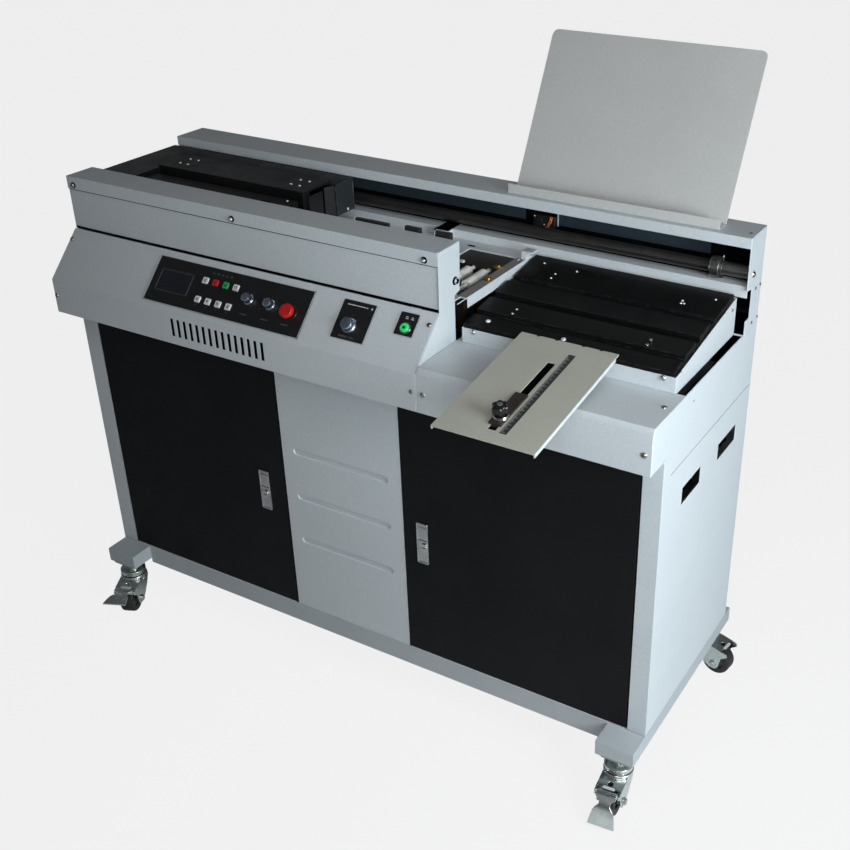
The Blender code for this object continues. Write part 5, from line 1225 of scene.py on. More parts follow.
@dataclass
class Cabinet:
    """Frame, side and rear panels, shelf, beam and the paper rest."""

    wall: float = 0.4004
    inside: Point = (0.006, 1.274)
    shaft_shade: Point = (0.560, 0.765)
    # painted shade bands on the rear wall, darker towards the bottom
    rear_shade_bands: Sequence[tuple[str, Finish, float, float]] = (
        ("rear_wall_liner", REAR_WALL_SHADE, 0.7880, 0.8115), ("rear_wall_low_liner", REAR_WALL_DEEP_SHADE, 0.7655, 0.7879))
    rear_shades: Points = ((1.185, 1.274), (0.812, 0.881))
    seam_height: float = 0.531
    windows: Sequence[Sequence[float]] = ((0.088, 0.171, 0.442, 0.475), (0.254, 0.342, 0.442, 0.475))
    # black sheet painting the shade in the slot by the tray
    slot_floor: Point = (1.2626, 0.075, 0.634, 1.2775, 0.331, 0.636)
    side_screws: Points = ((0.3965, 0.7277, 0.0030), (0.372, 0.7287, 0.0030),
                                    (0.3965, 0.666, 0.0030), (0.369, 0.665, 0.0030),
                                    (0.107, 0.630, 0.0014))
    beam_screw: Point = (1.270, 0.350, 0.8333, 0.0026)
    shelf_screws: Sequence[tuple[Matrix, Point]] = (
        (RIGHT, (0.3535, 0.7609, 0.0005, 0.0048)), (FRONT, (0.867, 0.608, 0.0554, 0.0042)),
        (FRONT, (1.2664, 0.608, 0.0554, 0.0042)), (LEVEL, (1.2640, 0.022, 0.6538, 0.0042)))
    rear_rows: Sequence[float] = (0.060, 0.330, 0.640, 0.780)
    rear_columns: Sequence[float] = (0.016, 0.440, 0.860, 1.264)
    left_rows: Sequence[float] = (0.070, 0.350, 0.620)
    left_columns: Sequence[float] = (0.030, 0.380)
    washer: Points = ((1.02, 0.0), (1.32, 0.0), (1.24, 0.0005), (1.02, 0.0005))
    louvre: Point = (0.110, 0.010, 0.0045)
    louvre_fields: Sequence[tuple[str, Matrix, float, float, int]] = (
        ("left_side", LEFT, -0.340, 0.430, 6), ("rear_left", BACK, -0.330, 0.400, 9),
        ("rear_right", BACK, -0.560, 0.400, 9), ("rear_low", BACK, -1.100, 0.180, 7))
    box_louvre: Point = (0.060, 0.009, 0.003, 0.0032, 0.0038, 0.0034)
    sensor_boxes: Points = ((0.832, 0.3880, 0.7600, 0.878, 0.3966, 0.7830),
                                     (0.838, 0.3845, 0.7650, 0.852, 0.3885, 0.7780))
    # painted highlight along the sensor box's right edge
    sensor_edge: Point = (0.8795, 0.3962, 0.7640, 0.8818, 0.3974, 0.8110)
    sensor_screws: Points = ((0.8350, 0.7790, 0.0014), (0.8560, 0.7650, 0.0020),
                                      (0.8600, 0.7610, 0.0014))
    sensor_route: Points = ((0.8640, 0.3850, 0.7570), (0.8655, 0.3835, 0.7680),
                                     (0.8690, 0.3845, 0.7745), (0.8702, 0.3868, 0.7830))
    inlet_corner: Point = (-1.150, 0.420)
    inlet_pins: Points = ((0.018, 0.012), (0.025, 0.018), (0.032, 0.012))
    fan_spot: Point = (-0.930, 0.470, 0.0)
    fan_rings: Sequence[float] = (0.012, 0.024, 0.036, 0.047)

    def sheets(self) -> None:
        """Stands softened skins for the painted sheets."""
        skin("base_frame", FOOT_GREY, SHEET_EDGE)
        for node in ("front_frame", "left_side_panel", "right_side_panel", "rear_panel",
                     "lower_shelf", "rear_beam", "electrical_box"):
            skin(node, GREY, SHEET_EDGE)
        skin("paper_rest", REST_GREY, 0.0007)

    def shade_sheets(self) -> None:
        """Painted shade: black sheets behind and below the shaft, at two places under the beam, in the slot
        by the tray and behind the side windows, and shaded bands on the rear wall.
        """
        left, right = self.inside
        front = self.wall - 0.003
        low = Part().box((left, front, self.shaft_shade[0]), (right, self.wall, self.shaft_shade[1]))
        low.box((left, 0.348, 0.690), (right, self.wall - 0.0031, 0.694))
        low.boxes([self.slot_floor])
        for x0, x1 in self.rear_shades:
            low.box((x0, self.wall - 0.0037, 0.760), (x1, self.wall - 0.0029, 0.8112))
        add("black_liners", BLACK_AND_SHADE, "cabinet", low, LEVEL)
        for name, finish, z0, z1 in self.rear_shade_bands:
            add(name, finish, "cabinet", Part().box((left, front, z0), (right, self.wall, z1)), LEVEL)
        dark = Part()
        for y0, y1, z0, z1 in self.windows:
            dark.box((y0 - 0.012, z0 - 0.012, -0.0205), (y1 + 0.012, z1 + 0.012, -0.0195))
        add("window_liners", BLACK_AND_SHADE, "cabinet", dark, RIGHT)

    def sensor(self) -> None:
        """Small black sensor box on the rear wall with its orange wires, and a painted highlight along its
        right edge.
        """
        add("sensor_box", KNOB_BLACK, "cabinet", Part().boxes(self.sensor_boxes), LEVEL, 0.0008)
        front = FRONT @ Matrix.Translation((0.0, 0.0, -self.sensor_boxes[0][1]))
        fasteners("sensor_screws", WHITE_SCREW, "cabinet", Head.PAN,
                  [on(front, x, z, 0.0, radius) for x, z, radius in self.sensor_screws])
        for index, shift in enumerate((0.0, 0.0034)):
            wire(f"sensor_wire_{index}", ORANGE_WIRE, 0.0012,
                 [machine(x + shift, y, z) for x, y, z in self.sensor_route])
        add("sensor_edge", HIGHLIGHT_PALE, "cabinet", Part().boxes([self.sensor_edge]), LEVEL)

    def door_edges(self) -> None:
        """Painted highlights on the folds round the two doorways that face the light, and painted shade on
        the shaded one.
        """
        light = Part()
        doors = [span(node, FRONT) for node in ("left_door", "right_door")]
        for low, high in doors:
            light.box((low.x + 0.0040, low.y - 0.0022, -0.0006), (high.x - 0.0040, low.y - 0.0008, 0.00035))
        low, high = doors[1]
        light.box((low.x - 0.0021, low.y, -0.0006), (low.x - 0.0004, high.y, 0.00035))
        add("doorway_light_edges", HIGHLIGHT_PALE, "cabinet", light, FRONT)
        low, high = doors[0]
        dark = Part().box((high.x + 0.0003, low.y, -0.0006), (high.x + 0.0017, high.y, 0.0002))
        add("doorway_dark_edge", BLACK_AND_SHADE, "cabinet", dark, FRONT)
        hinge = Part().box((low.x + 0.0001, low.y + 0.001, -0.0004),
                           (low.x + 0.0015, high.y - 0.001, 0.00013))
        add("left_door_hinge_edge", HIGHLIGHT_PALE, "left_door", hinge, FRONT)

    def joints(self) -> None:
        """The side sheet's joint line and the screws of the right side, the shelf and the beam."""
        line = Part().box((0.030, self.seam_height, -0.0006), (0.396, self.seam_height + 0.0011, 0.00018))
        add("side_joint", DARK_JOINT_AND_SHADE, "cabinet", line, RIGHT)
        small = [on(RIGHT, y, z, 0.0, radius) for y, z, radius in self.side_screws]
        small.append(on(LEVEL, *self.beam_screw))
        fasteners("small_side_screws", SCREW_DARK, "cabinet", Head.PAN, small)
        big = [on(face, *numbers) for face, numbers in self.shelf_screws]
        fasteners("shelf_screws", SCREW_BRONZE, "cabinet", Head.PAN, big)
        seats("screw_washers", ZINC, big, self.washer)

    def hood(self, across: float, height: float, inset: float, crest: float, front: float,
             back: float) -> Part:
        """Draws one pressed louvre, which rises from a rectangle to a narrow crest.

        Args:
            across: its length.
            height: its height.
            inset: how far the crest stays off each end.
            crest: the crest's upper edge.
            front: how far the crest's lower edge stands proud.
            back: how far the crest's upper edge stands proud.

        Returns:
            The part.
        """
        foot = [(0.0, 0.0, -0.0004), (across, 0.0, -0.0004), (across, height, -0.0004),
                (0.0, height, -0.0004)]
        top = [(inset, 0.0008, front), (across - inset, 0.0008, front),
               (across - inset, crest, back), (inset, crest, back)]
        return Part().loft([foot, top])

    def louvres(self) -> None:
        """Pressed louvres on the left side and the rear, each over a black sheet that paints the shade in its
        slot.
        """
        across, height, proud = self.louvre
        inset = across * 0.04
        for name, face, x, y, count in self.louvre_fields:
            start = face @ Matrix.Translation((x, y, 0.0))
            repeat = {"place": start, "Count": count, "Step": (0.0, 0.022, 0.0)}
            hood = self.hood(across, height, inset, height * 0.35, proud, proud * 0.9)
            repeated(ROW, f"{name}_louvres", GREY, "cabinet", hood, **repeat)
            slot = Part().box((inset, -0.0022, -0.0004), (across - inset, 0.0, proud * 0.6))
            repeated(ROW, f"{name}_slots", BLACK_AND_SHADE, "cabinet", slot, **repeat)

    def inlet(self) -> None:
        """Mains inlet with its pins, a fuse drawer and a cooling fan's grille on the rear."""
        x, y = self.inlet_corner
        outer, inner = line_frame((x, y), (x + 0.050, y + 0.032), 0.004, 0.009)
        body = Part().rim(outer, inner, -0.001, 0.0060)
        body.box((x + 0.006, y + 0.006, -0.012), (x + 0.044, y + 0.026, -0.0095))
        body.prism(rounded((x + 0.006, y + 0.036), (x + 0.044, y + 0.050), 0.002), -0.001, 0.0045)
        add("mains_inlet", KNOB_BLACK, "cabinet", body, BACK, 0.0006)
        pins = Part()
        for px, py in self.inlet_pins:
            pins.box((x + px - 0.0012, y + py - 0.0025, -0.0096), (x + px + 0.0012, y + py + 0.0025, 0.002))
        add("inlet_pins", BRASS, "cabinet", pins, BACK)
        fan = BACK @ Matrix.Translation(self.fan_spot)
        disc = Part().turned(((0.046, -0.0004), (0.046, 0.0004)), 40)
        add("fan_shadow", BLACK_AND_SHADE, "cabinet", disc, fan)
        guard = Part()
        for radius in self.fan_rings:
            near, far = radius - 0.0012, radius + 0.0012
            guard.ring(((near, 0.0014), (far, 0.0014), (far, 0.0036), (near, 0.0036)), 40)
        for angle in range(0, 360, 45):
            spoke = Part().box((0.010, -0.0012, 0.0008), (0.050, 0.0012, 0.0022))
            guard.join(spoke.moved(Matrix.Rotation(math.radians(angle), 4, "Z")))
        add("fan_guard", STEEL, "cabinet", guard, fan)

    def electrics(self) -> None:
        """Cover, louvres, screws, cable gland and loom of the electrical box behind the right door."""
        low, high = span("electrical_box", FRONT)
        edge, face = 0.010, high.z + 0.0016
        cover = Part().prism(rounded((low.x + edge, low.y + edge), (high.x - edge, high.y - edge), 0.004, 3),
                             high.z + 0.0001, face)
        add("box_cover", GREY, "cabinet", cover, FRONT, 0.0004)
        corners = [on(FRONT, x, y, face, 0.0042) for x in (low.x + 2.0 * edge, high.x - 2.0 * edge)
                   for y in (low.y + 2.0 * edge, high.y - 2.0 * edge)]
        fasteners("box_screws", STEEL, "cabinet", Head.PAN, corners)
        start = FRONT @ Matrix.Translation((low.x + 0.045, low.y + 0.045, face))
        hood = self.hood(*self.box_louvre)
        repeated(ROW, "box_louvres", GREY, "cabinet", hood, start, Count=6, Step=(0.0, 0.017, 0.0))
        middle, depth = 0.5 * (low.x + high.x), 0.5 * (low.z + high.z)
        top = FRONT @ upright((middle, high.y, depth), (0.0, 1.0, 0.0))
        gland = Part().turned(((0.0150, -0.0005), (0.0150, 0.0080), (0.0120, 0.0090), (0.0115, 0.0180),
                               (0.0090, 0.0200)), 6)
        add("box_gland", BLACK_PLASTIC, "cabinet", gland, top, 0.0006)
        for index, (finish, shift) in enumerate(((BLACK_WIRE, -0.0040), (ORANGE_WIRE, 0.0040),
                                                 (BLACK_WIRE, 0.0))):
            start = middle + shift
            route = [(start, high.y + 0.010, depth + shift * (index - 1)), (start, high.y + 0.060, depth),
                     (start - 0.020, high.y + 0.110, depth - 0.030),
                     (start - 0.060, high.y + 0.130, -self.wall + 0.012 + 0.002 * index),
                     (start - 0.160, high.y + 0.134, -self.wall + 0.008 + 0.003 * index)]
            wire(f"box_loom_{index + 1}", finish, 0.0028, [FRONT @ Vector(point) for point in route])

    def rear_screws(self) -> None:
        """Screws round the rear sheet and along the back of the beam."""
        items = [on(BACK, -x, z, 0.0, 0.0036) for z in self.rear_rows for x in self.rear_columns]
        items += [on(LEFT, -y, z, 0.0, 0.0034) for y in self.left_columns for z in self.left_rows]
        fasteners("rear_sheet_screws", ZINC, "cabinet", Head.PAN, items)

    def build(self) -> None:
        """Builds the cabinet's looks."""
        self.sheets()
        self.shade_sheets()
        self.sensor()
        self.door_edges()
        self.joints()
        self.louvres()
        self.inlet()
        self.electrics()
        self.rear_screws()


@dataclass
class Doors:
    """Two black doors with their quarter-turn locks in zinc plates."""

    plates: Sequence[tuple[str, float, float]] = (("left", 0.431, 0.217), ("right", 0.804, 0.215))
    size: Point = (0.025, 0.089)
    barrel_height: float = 0.252
    clearance: float = 0.0089

    def __post_init__(self) -> None:
        """Reads the lock barrels' places from the CAD."""
        self.barrels = {side: sum(corner.x for corner in span(f"{side}_door_lock", FRONT)) / 2
                        for side in ("left", "right")}

    def lock_plate(self, side: str, x: float, z: float) -> None:
        """Builds one lock plate with a raised border and its recessed field.

        Args:
            side: left or right.
            x: the plate's left edge.
            z: the plate's lower edge.
        """
        centre = (self.barrels[side], self.barrel_height)
        high = (x + self.size[0], z + self.size[1])
        outline = rounded((x, z), high, 0.003)
        plate = Part().rim(outline, circle_towards(outline, centre, self.clearance), 0.0002, 0.0012)
        outer, inner = line_frame((x, z), high, 0.003, 0.0022)
        plate.rim(outer, inner, 0.0010, 0.0026)
        plate.box((x + 0.002, z + 0.0500, 0.0010), (high[0] - 0.002, z + 0.0518, 0.0026))
        plate.box((x + 0.002, z + 0.0790, 0.0010), (high[0] - 0.002, z + 0.0804, 0.0022))
        add(f"{side}_lock_plate", ZINC, f"{side}_door", plate, FRONT, FINE_EDGE)

    def stiffeners(self) -> None:
        """Raised rails and a foam strip on the doors' inner faces."""
        for side in ("left", "right"):
            low, high = span(f"{side}_door", FRONT)
            channel = Part()
            for level in (0.18, 0.40):
                channel.box((low.x + 0.030, level, -0.0100), (high.x - 0.030, level + 0.04, -0.0022))
            add(f"{side}_door_channels", DOOR_BLACK, f"{side}_door", channel, FRONT, 0.0012)
            outer, inner = line_frame((low.x + 0.014, low.y + 0.010), (high.x - 0.014, high.y - 0.010),
                                      0.004, 0.006)
            seal = Part().rim(outer, inner, -0.0060, -0.0022)
            add(f"{side}_door_seal", RUBBER, f"{side}_door", seal, FRONT)

    def build(self) -> None:
        """Builds the doors' looks."""
        for side, x, z in self.plates:
            skin(f"{side}_door", DOOR_BLACK, SHEET_EDGE)
            skin(f"{side}_door_lock", CHROME, 0.0004)
            self.lock_plate(side, x, z)
            # painted shade in the lock's key slot
            slot = Part().box((-0.0042, -0.0009, 0.0), (0.0042, 0.0009, 0.00035))
            spot = FRONT @ Matrix.Translation((self.barrels[side], self.barrel_height, 0.0041))
            add(f"{side}_key_slot", DARK_JOINT_AND_SHADE, f"{side}_door_lock", slot, spot)
        self.stiffeners()


@dataclass
class Console:
    """Folded front, upper plate, cap rail and end plate with their joints, vents and screws."""

    width: float = 0.8527
    vent: Point = (0.3116, 0.5260, 0.5880, 0.6260)
    cap_screws: Sequence[float] = (0.017, 0.4165, 0.828)
    end_screw: Point = (0.0726, 0.7632, 0.0004, 0.0052)
    end_face: float = 0.425
    slope_screws: Points = ((0.0052, 0.089, 0.0, 0.0044), (0.8442, 0.089, 0.0, 0.0044))
    front_screws: Points = ((0.0056, 0.608, 0.0554, 0.0042), (0.8445, 0.608, 0.0554, 0.0042))
    seat: Points = ((1.04, -0.0004), (1.42, -0.0004), (1.42, 0.0005), (1.04, 0.0005))

    def joints(self) -> None:
        """Dark lines where the sheets meet, and painted shade: a black sheet behind the vents."""
        dark = Part().box((0.0015, 0.02455, 0.7229), (self.width - 0.001, 0.02585, 0.7270))
        dark.box((0.0015, 0.0243, 0.8018), (self.width - 0.001, 0.0258, 0.80285))
        x0, x1, z0, z1 = self.vent
        dark.box((x0 - 0.004, -0.0551, z0 - 0.0002), (x1 + 0.004, -0.0530, z1 + 0.0002))
        add("console_joints", BLACK_AND_SHADE, "cabinet", dark, LEVEL)

    def screws(self) -> None:
        """Screws of the cap, the slope, the folded front and the end plate."""
        bright = [on(FRONT, x, 0.8115, -0.0232, 0.0042) for x in self.cap_screws]
        bright.append(on(RIGHT @ Matrix.Translation((0.0, 0.0, -self.end_face)), *self.end_screw))
        fasteners("console_bright_screws", CHROME, "cabinet", Head.SOCKET, bright)
        # black rings paint the shade in the recesses round the bright screws
        seats("console_screw_seats", BLACK_AND_SHADE, bright, self.seat)
        brown = [on(SLOPE, *numbers) for numbers in self.slope_screws]
        brown += [on(FRONT, *numbers) for numbers in self.front_screws]
        fasteners("console_brown_screws", SCREW_BRONZE, "cabinet", Head.PAN, brown)

    def build(self) -> None:
        """Builds the console's looks."""
        for node in ("console_fascia", "console_upper_plate", "console_cap_rail", "console_end_plate"):
            skin(node, GREY, SHEET_EDGE)
        self.joints()
        self.screws()


class Symbol(Enum):
    """Plain marks on the keys, as boxes (x0, y0, x1, y1) in shares of the key's half width."""

    FRAME = ((-0.6, -0.6, 0.6, -0.35), (-0.6, 0.35, 0.6, 0.6), (-0.6, -0.35, -0.35, 0.35),
             (0.35, -0.35, 0.6, 0.35))
    BLOCK = ((-0.45, -0.45, 0.45, 0.45),)
    STEPS = ((-0.6, -0.55, -0.2, 0.0), (-0.15, -0.55, 0.2, 0.3), (0.25, -0.55, 0.6, 0.6))
    PAIR = ((-0.5, -0.55, -0.15, 0.55), (0.15, -0.55, 0.5, 0.55))
    CROSS = ((-0.15, -0.6, 0.15, 0.6), (-0.6, -0.14, -0.15, 0.14), (0.15, -0.14, 0.6, 0.14))
    BRACKET = ((-0.6, -0.6, -0.3, 0.6), (-0.3, 0.35, 0.5, 0.6), (0.25, -0.5, 0.5, 0.35))
    LINES = ((-0.55, -0.6, 0.55, -0.35), (-0.55, -0.12, 0.55, 0.12), (-0.55, 0.35, 0.55, 0.6))

    def part(self, half: float) -> Part:
        """Raises the mark a hair above the key.

        Args:
            half: half of the key's width.

        Returns:
            The mark, round the origin.
        """
        made = Part()
        for x0, y0, x1, y1 in self.value:
            made.box((x0 * half, y0 * half, -0.0002), (x1 * half, y1 * half, 0.00022))
        return made


@dataclass
class Controls:
    """Control overlay with its display, keys, dials and buttons."""

    overlay: Point = (0.2402, 0.0082, 0.6048, 0.0998)
    display: Point = (0.256, 0.032, 0.335, 0.076)
    selector_plate: Point = (0.666, 0.027, 0.736, 0.101)
    power_plate: Point = (0.784, 0.059, 0.823, 0.1026)
    white_marks: Points = (
        (0.677, 0.0912, 0.715, 0.0926), (0.717, 0.0908, 0.7195, 0.0930), (0.7265, 0.0900, 0.7295, 0.0934),
        (0.7975, 0.0900, 0.8030, 0.0916), (0.7975, 0.0932, 0.8017, 0.0944),
        (0.8085, 0.0900, 0.8140, 0.0916), (0.8085, 0.0932, 0.8127, 0.0944))
    grey_marks: Points = ((0.6820, 0.0330, 0.7000, 0.0350), (0.7040, 0.0330, 0.7130, 0.0350))
    legends: Sequence[tuple[Sequence[float], float, float, float]] = (
        ((0.3735, 0.3840, 0.3945, 0.4050, 0.4155), 0.0042, 0.0868, 0.0892),
        ((0.3610, 0.3854, 0.4098, 0.4342), 0.0050, 0.0215, 0.0226),
        ((0.4660, 0.5150, 0.5600), 0.0150, 0.0262, 0.0276))
    ridges: int = 24
    dial_steps: Points = ((0.90, 1.0), (0.97, 0.93), (0.97, 0.62), (0.80, 0.52), (0.78, 0.16),
                                   (0.70, 0.05))
    marks: Sequence[Symbol] = (Symbol.FRAME, Symbol.BLOCK, Symbol.STEPS, Symbol.BRACKET,
                               Symbol.PAIR, Symbol.CROSS, Symbol.BRACKET, Symbol.LINES)

    def __post_init__(self) -> None:
        """Reads the height of the overlay's face from the CAD."""
        self.level = span("control_panel", SLOPE)[1].z

    @staticmethod
    def border(part: Part, area: Point, radius: float, width: float, low: float, high: float) -> None:
        """Adds a thin line round an area to a part."""
        part.rim(*line_frame(area[:2], area[2:], radius, width), low, high)

    def prints(self) -> None:
        """White and grey prints on the overlay and the two small plates."""
        light = Part()
        self.border(light, self.overlay, 0.004, 0.0010, self.level - 0.0002, self.level + 0.0002)
        for area in (self.selector_plate, self.power_plate):
            self.border(light, area, 0.003, 0.0009, 0.0012, 0.00165)
        light.boxes([(x0, y0, 0.0012, x1, y1, 0.0016) for x0, y0, x1, y1 in self.white_marks])
        add("printed_lines", PRINT_WHITE, "cabinet", light, SLOPE)
        faint = Part()
        for places, width, y0, y1 in self.legends:
            faint.boxes([(x, y0, self.level - 0.0002, x + width, y1, self.level + 0.00018) for x in places])
        faint.boxes([(x0, y0, 0.0012, x1, y1, 0.0016) for x0, y0, x1, y1 in self.grey_marks])
        add("printed_legends", PRINT_GREY, "cabinet", faint, SLOPE)

    def plates(self) -> None:
        """Black plates under the selector and the lit button, pierced for their stems."""
        dark = Part()
        for area, node, hole in ((self.selector_plate, "selector_knob", 0.0152),
                                 (self.power_plate, "power_button", 0.0104)):
            low, high = span(node, SLOPE)
            centre = ((low.x + high.x) / 2, (low.y + high.y) / 2)
            outline = rounded(area[:2], area[2:], 0.003)
            dark.rim(outline, circle_towards(outline, centre, hole), 0.0001, 0.0013)
        add("small_plates", BLACK_PLASTIC, "cabinet", dark, SLOPE)

    def screen(self) -> None:
        """Display glass in its frame."""
        x0, y0, x1, y1 = self.display
        rim = Part()
        self.border(rim, self.display, 0.004, 0.0026, self.level - 0.0002, self.level + 0.0011)
        add("display_frame", PRINT_DARK, "cabinet", rim, SLOPE, FINE_EDGE)
        glass = Part().prism(rounded((x0 + 0.0022, y0 + 0.0022), (x1 - 0.0022, y1 - 0.0022), 0.002),
                             self.level - 0.0002, self.level + 0.0004)
        add("display_glass", DISPLAY, "cabinet", glass, SLOPE)

    def keys(self) -> None:
        """Keys with a dark mark on each."""
        colours = {"upper_button_2": RED_PLASTIC, "upper_button_3": GREEN_PLASTIC}
        for index, mark in enumerate(self.marks):
            name = f"{'upper' if index < 4 else 'lower'}_button_{index % 4 + 1}"
            skin(name, colours.get(name, WHITE_PLASTIC), 0.0004)
            add(name + "_mark", PRINT_DARK, BODY_OF[name], mark.part(0.0042), middle_of(name, SLOPE))

    def dial(self, node: str, radius: float, turn: float) -> None:
        """Turned dial with a ridged skirt, a domed cap and a pointer.

        Args:
            node: the dial's CAD node.
            radius: its radius.
            turn: the pointer's angle in degrees.
        """
        low, high = span(node, SLOPE)
        tall = high.z - low.z
        place = middle_of(node, SLOPE)
        steps = [(radius * across, -tall * down) for across, down in self.dial_steps]
        body = Part().turned([*steps, (radius * 0.50, -0.0001), (radius * 0.05, 0.0002)], 40)
        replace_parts(add(node + "_body", CHROME_BLUE, BODY_OF[node], body, place), node)
        ridge = Part().box((radius * 0.76, -radius * 0.045, -tall * 0.50),
                           (radius * 0.83, radius * 0.045, -tall * 0.14))
        repeated(RING, node + "_ridges", CHROME_BLUE, BODY_OF[node], ridge, place, Count=self.ridges,
                 First_angle=0.0, Angle_step=math.tau / self.ridges)
        arrow = Part().box((radius * 0.12, -radius * 0.06, -0.0006), (radius * 0.66, radius * 0.06, 0.0003))
        arrow.moved(Matrix.Rotation(math.radians(turn), 4, "Z"))
        add(node + "_pointer", PRINT_DARK, BODY_OF[node], arrow, place)

    def scales(self) -> None:
        """Ticks round the dials and the selector."""
        for node, radius, height, count in (("left_dial", 0.0135, self.level, 11),
                                            ("right_dial", 0.0135, self.level, 11),
                                            ("selector_knob", 0.0185, 0.0014, 3)):
            tick = Part().box((radius, -0.0003, -0.0002), (radius + 0.0018, 0.0003, 0.0002))
            sweep = 270.0 if count > 3 else 90.0
            repeated(RING, node + "_ticks", PRINT_GREY, "cabinet", tick, middle_of(node, SLOPE, height),
                     Count=count, First_angle=math.radians(90.0 - sweep / 2),
                     Angle_step=math.radians(sweep / (count - 1)))

    def buttons(self) -> None:
        """Mushroom stop button and the lit round button in its ring."""
        skin("stop_button", RED_PLASTIC, 0.0016, 4)
        collar = Part().ring(((0.0105, -0.0002), (0.0150, -0.0002), (0.0144, 0.0008), (0.0105, 0.0008)), 32)
        add("stop_collar", KNOB_BLACK, "cabinet", collar, middle_of("stop_button", SLOPE, 0.0017))
        bezel = Part().ring(((0.0084, -0.0008), (0.0112, -0.0008), (0.0104, 0.0012), (0.0086, 0.0012)), 32)
        add("power_ring", CHROME, "cabinet", bezel, middle_of("power_button", SLOPE, 0.0016))
        skin("power_button", GREEN_LAMP, 0.0004)
        dark = Part().turned(((0.0030, -0.0003), (0.0030, 0.0003)), 24)
        add("power_centre", GREEN_DARK, BODY_OF["power_button"], dark, middle_of("power_button", SLOPE))

    def build(self) -> None:
        """Builds the controls' looks."""
        skin("control_panel", BLACK_PLASTIC, 0.0003)
        self.plates()
        self.prints()
        self.screen()
        self.keys()
        self.dial("left_dial", 0.011, 120.0)
        self.dial("right_dial", 0.011, 60.0)
        self.dial("selector_knob", 0.0145, 90.0)
        self.scales()
        self.buttons()


def height_on(node: str, place: Matrix, x: float, y: float) -> float:
    """Height of a CAD node's outer face over one point.

    Args:
        node: the CAD node.
        place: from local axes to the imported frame.
        x: the point's local x.
        y: the point's local y.

    Returns:
        The height along local z, or the node's top where nothing is met.
    """
    back = place.inverted()
    mesh = frame["nodes"][node].data
    tree = BVHTree.FromPolygons([back @ vertex.co for vertex in mesh.vertices],
                                [face.vertices for face in mesh.polygons])
    hit = tree.ray_cast(Vector((x, y, 1.0)), Vector((0.0, 0.0, -1.0)))[0]
    return hit.z if hit else span(node, place)[1].z


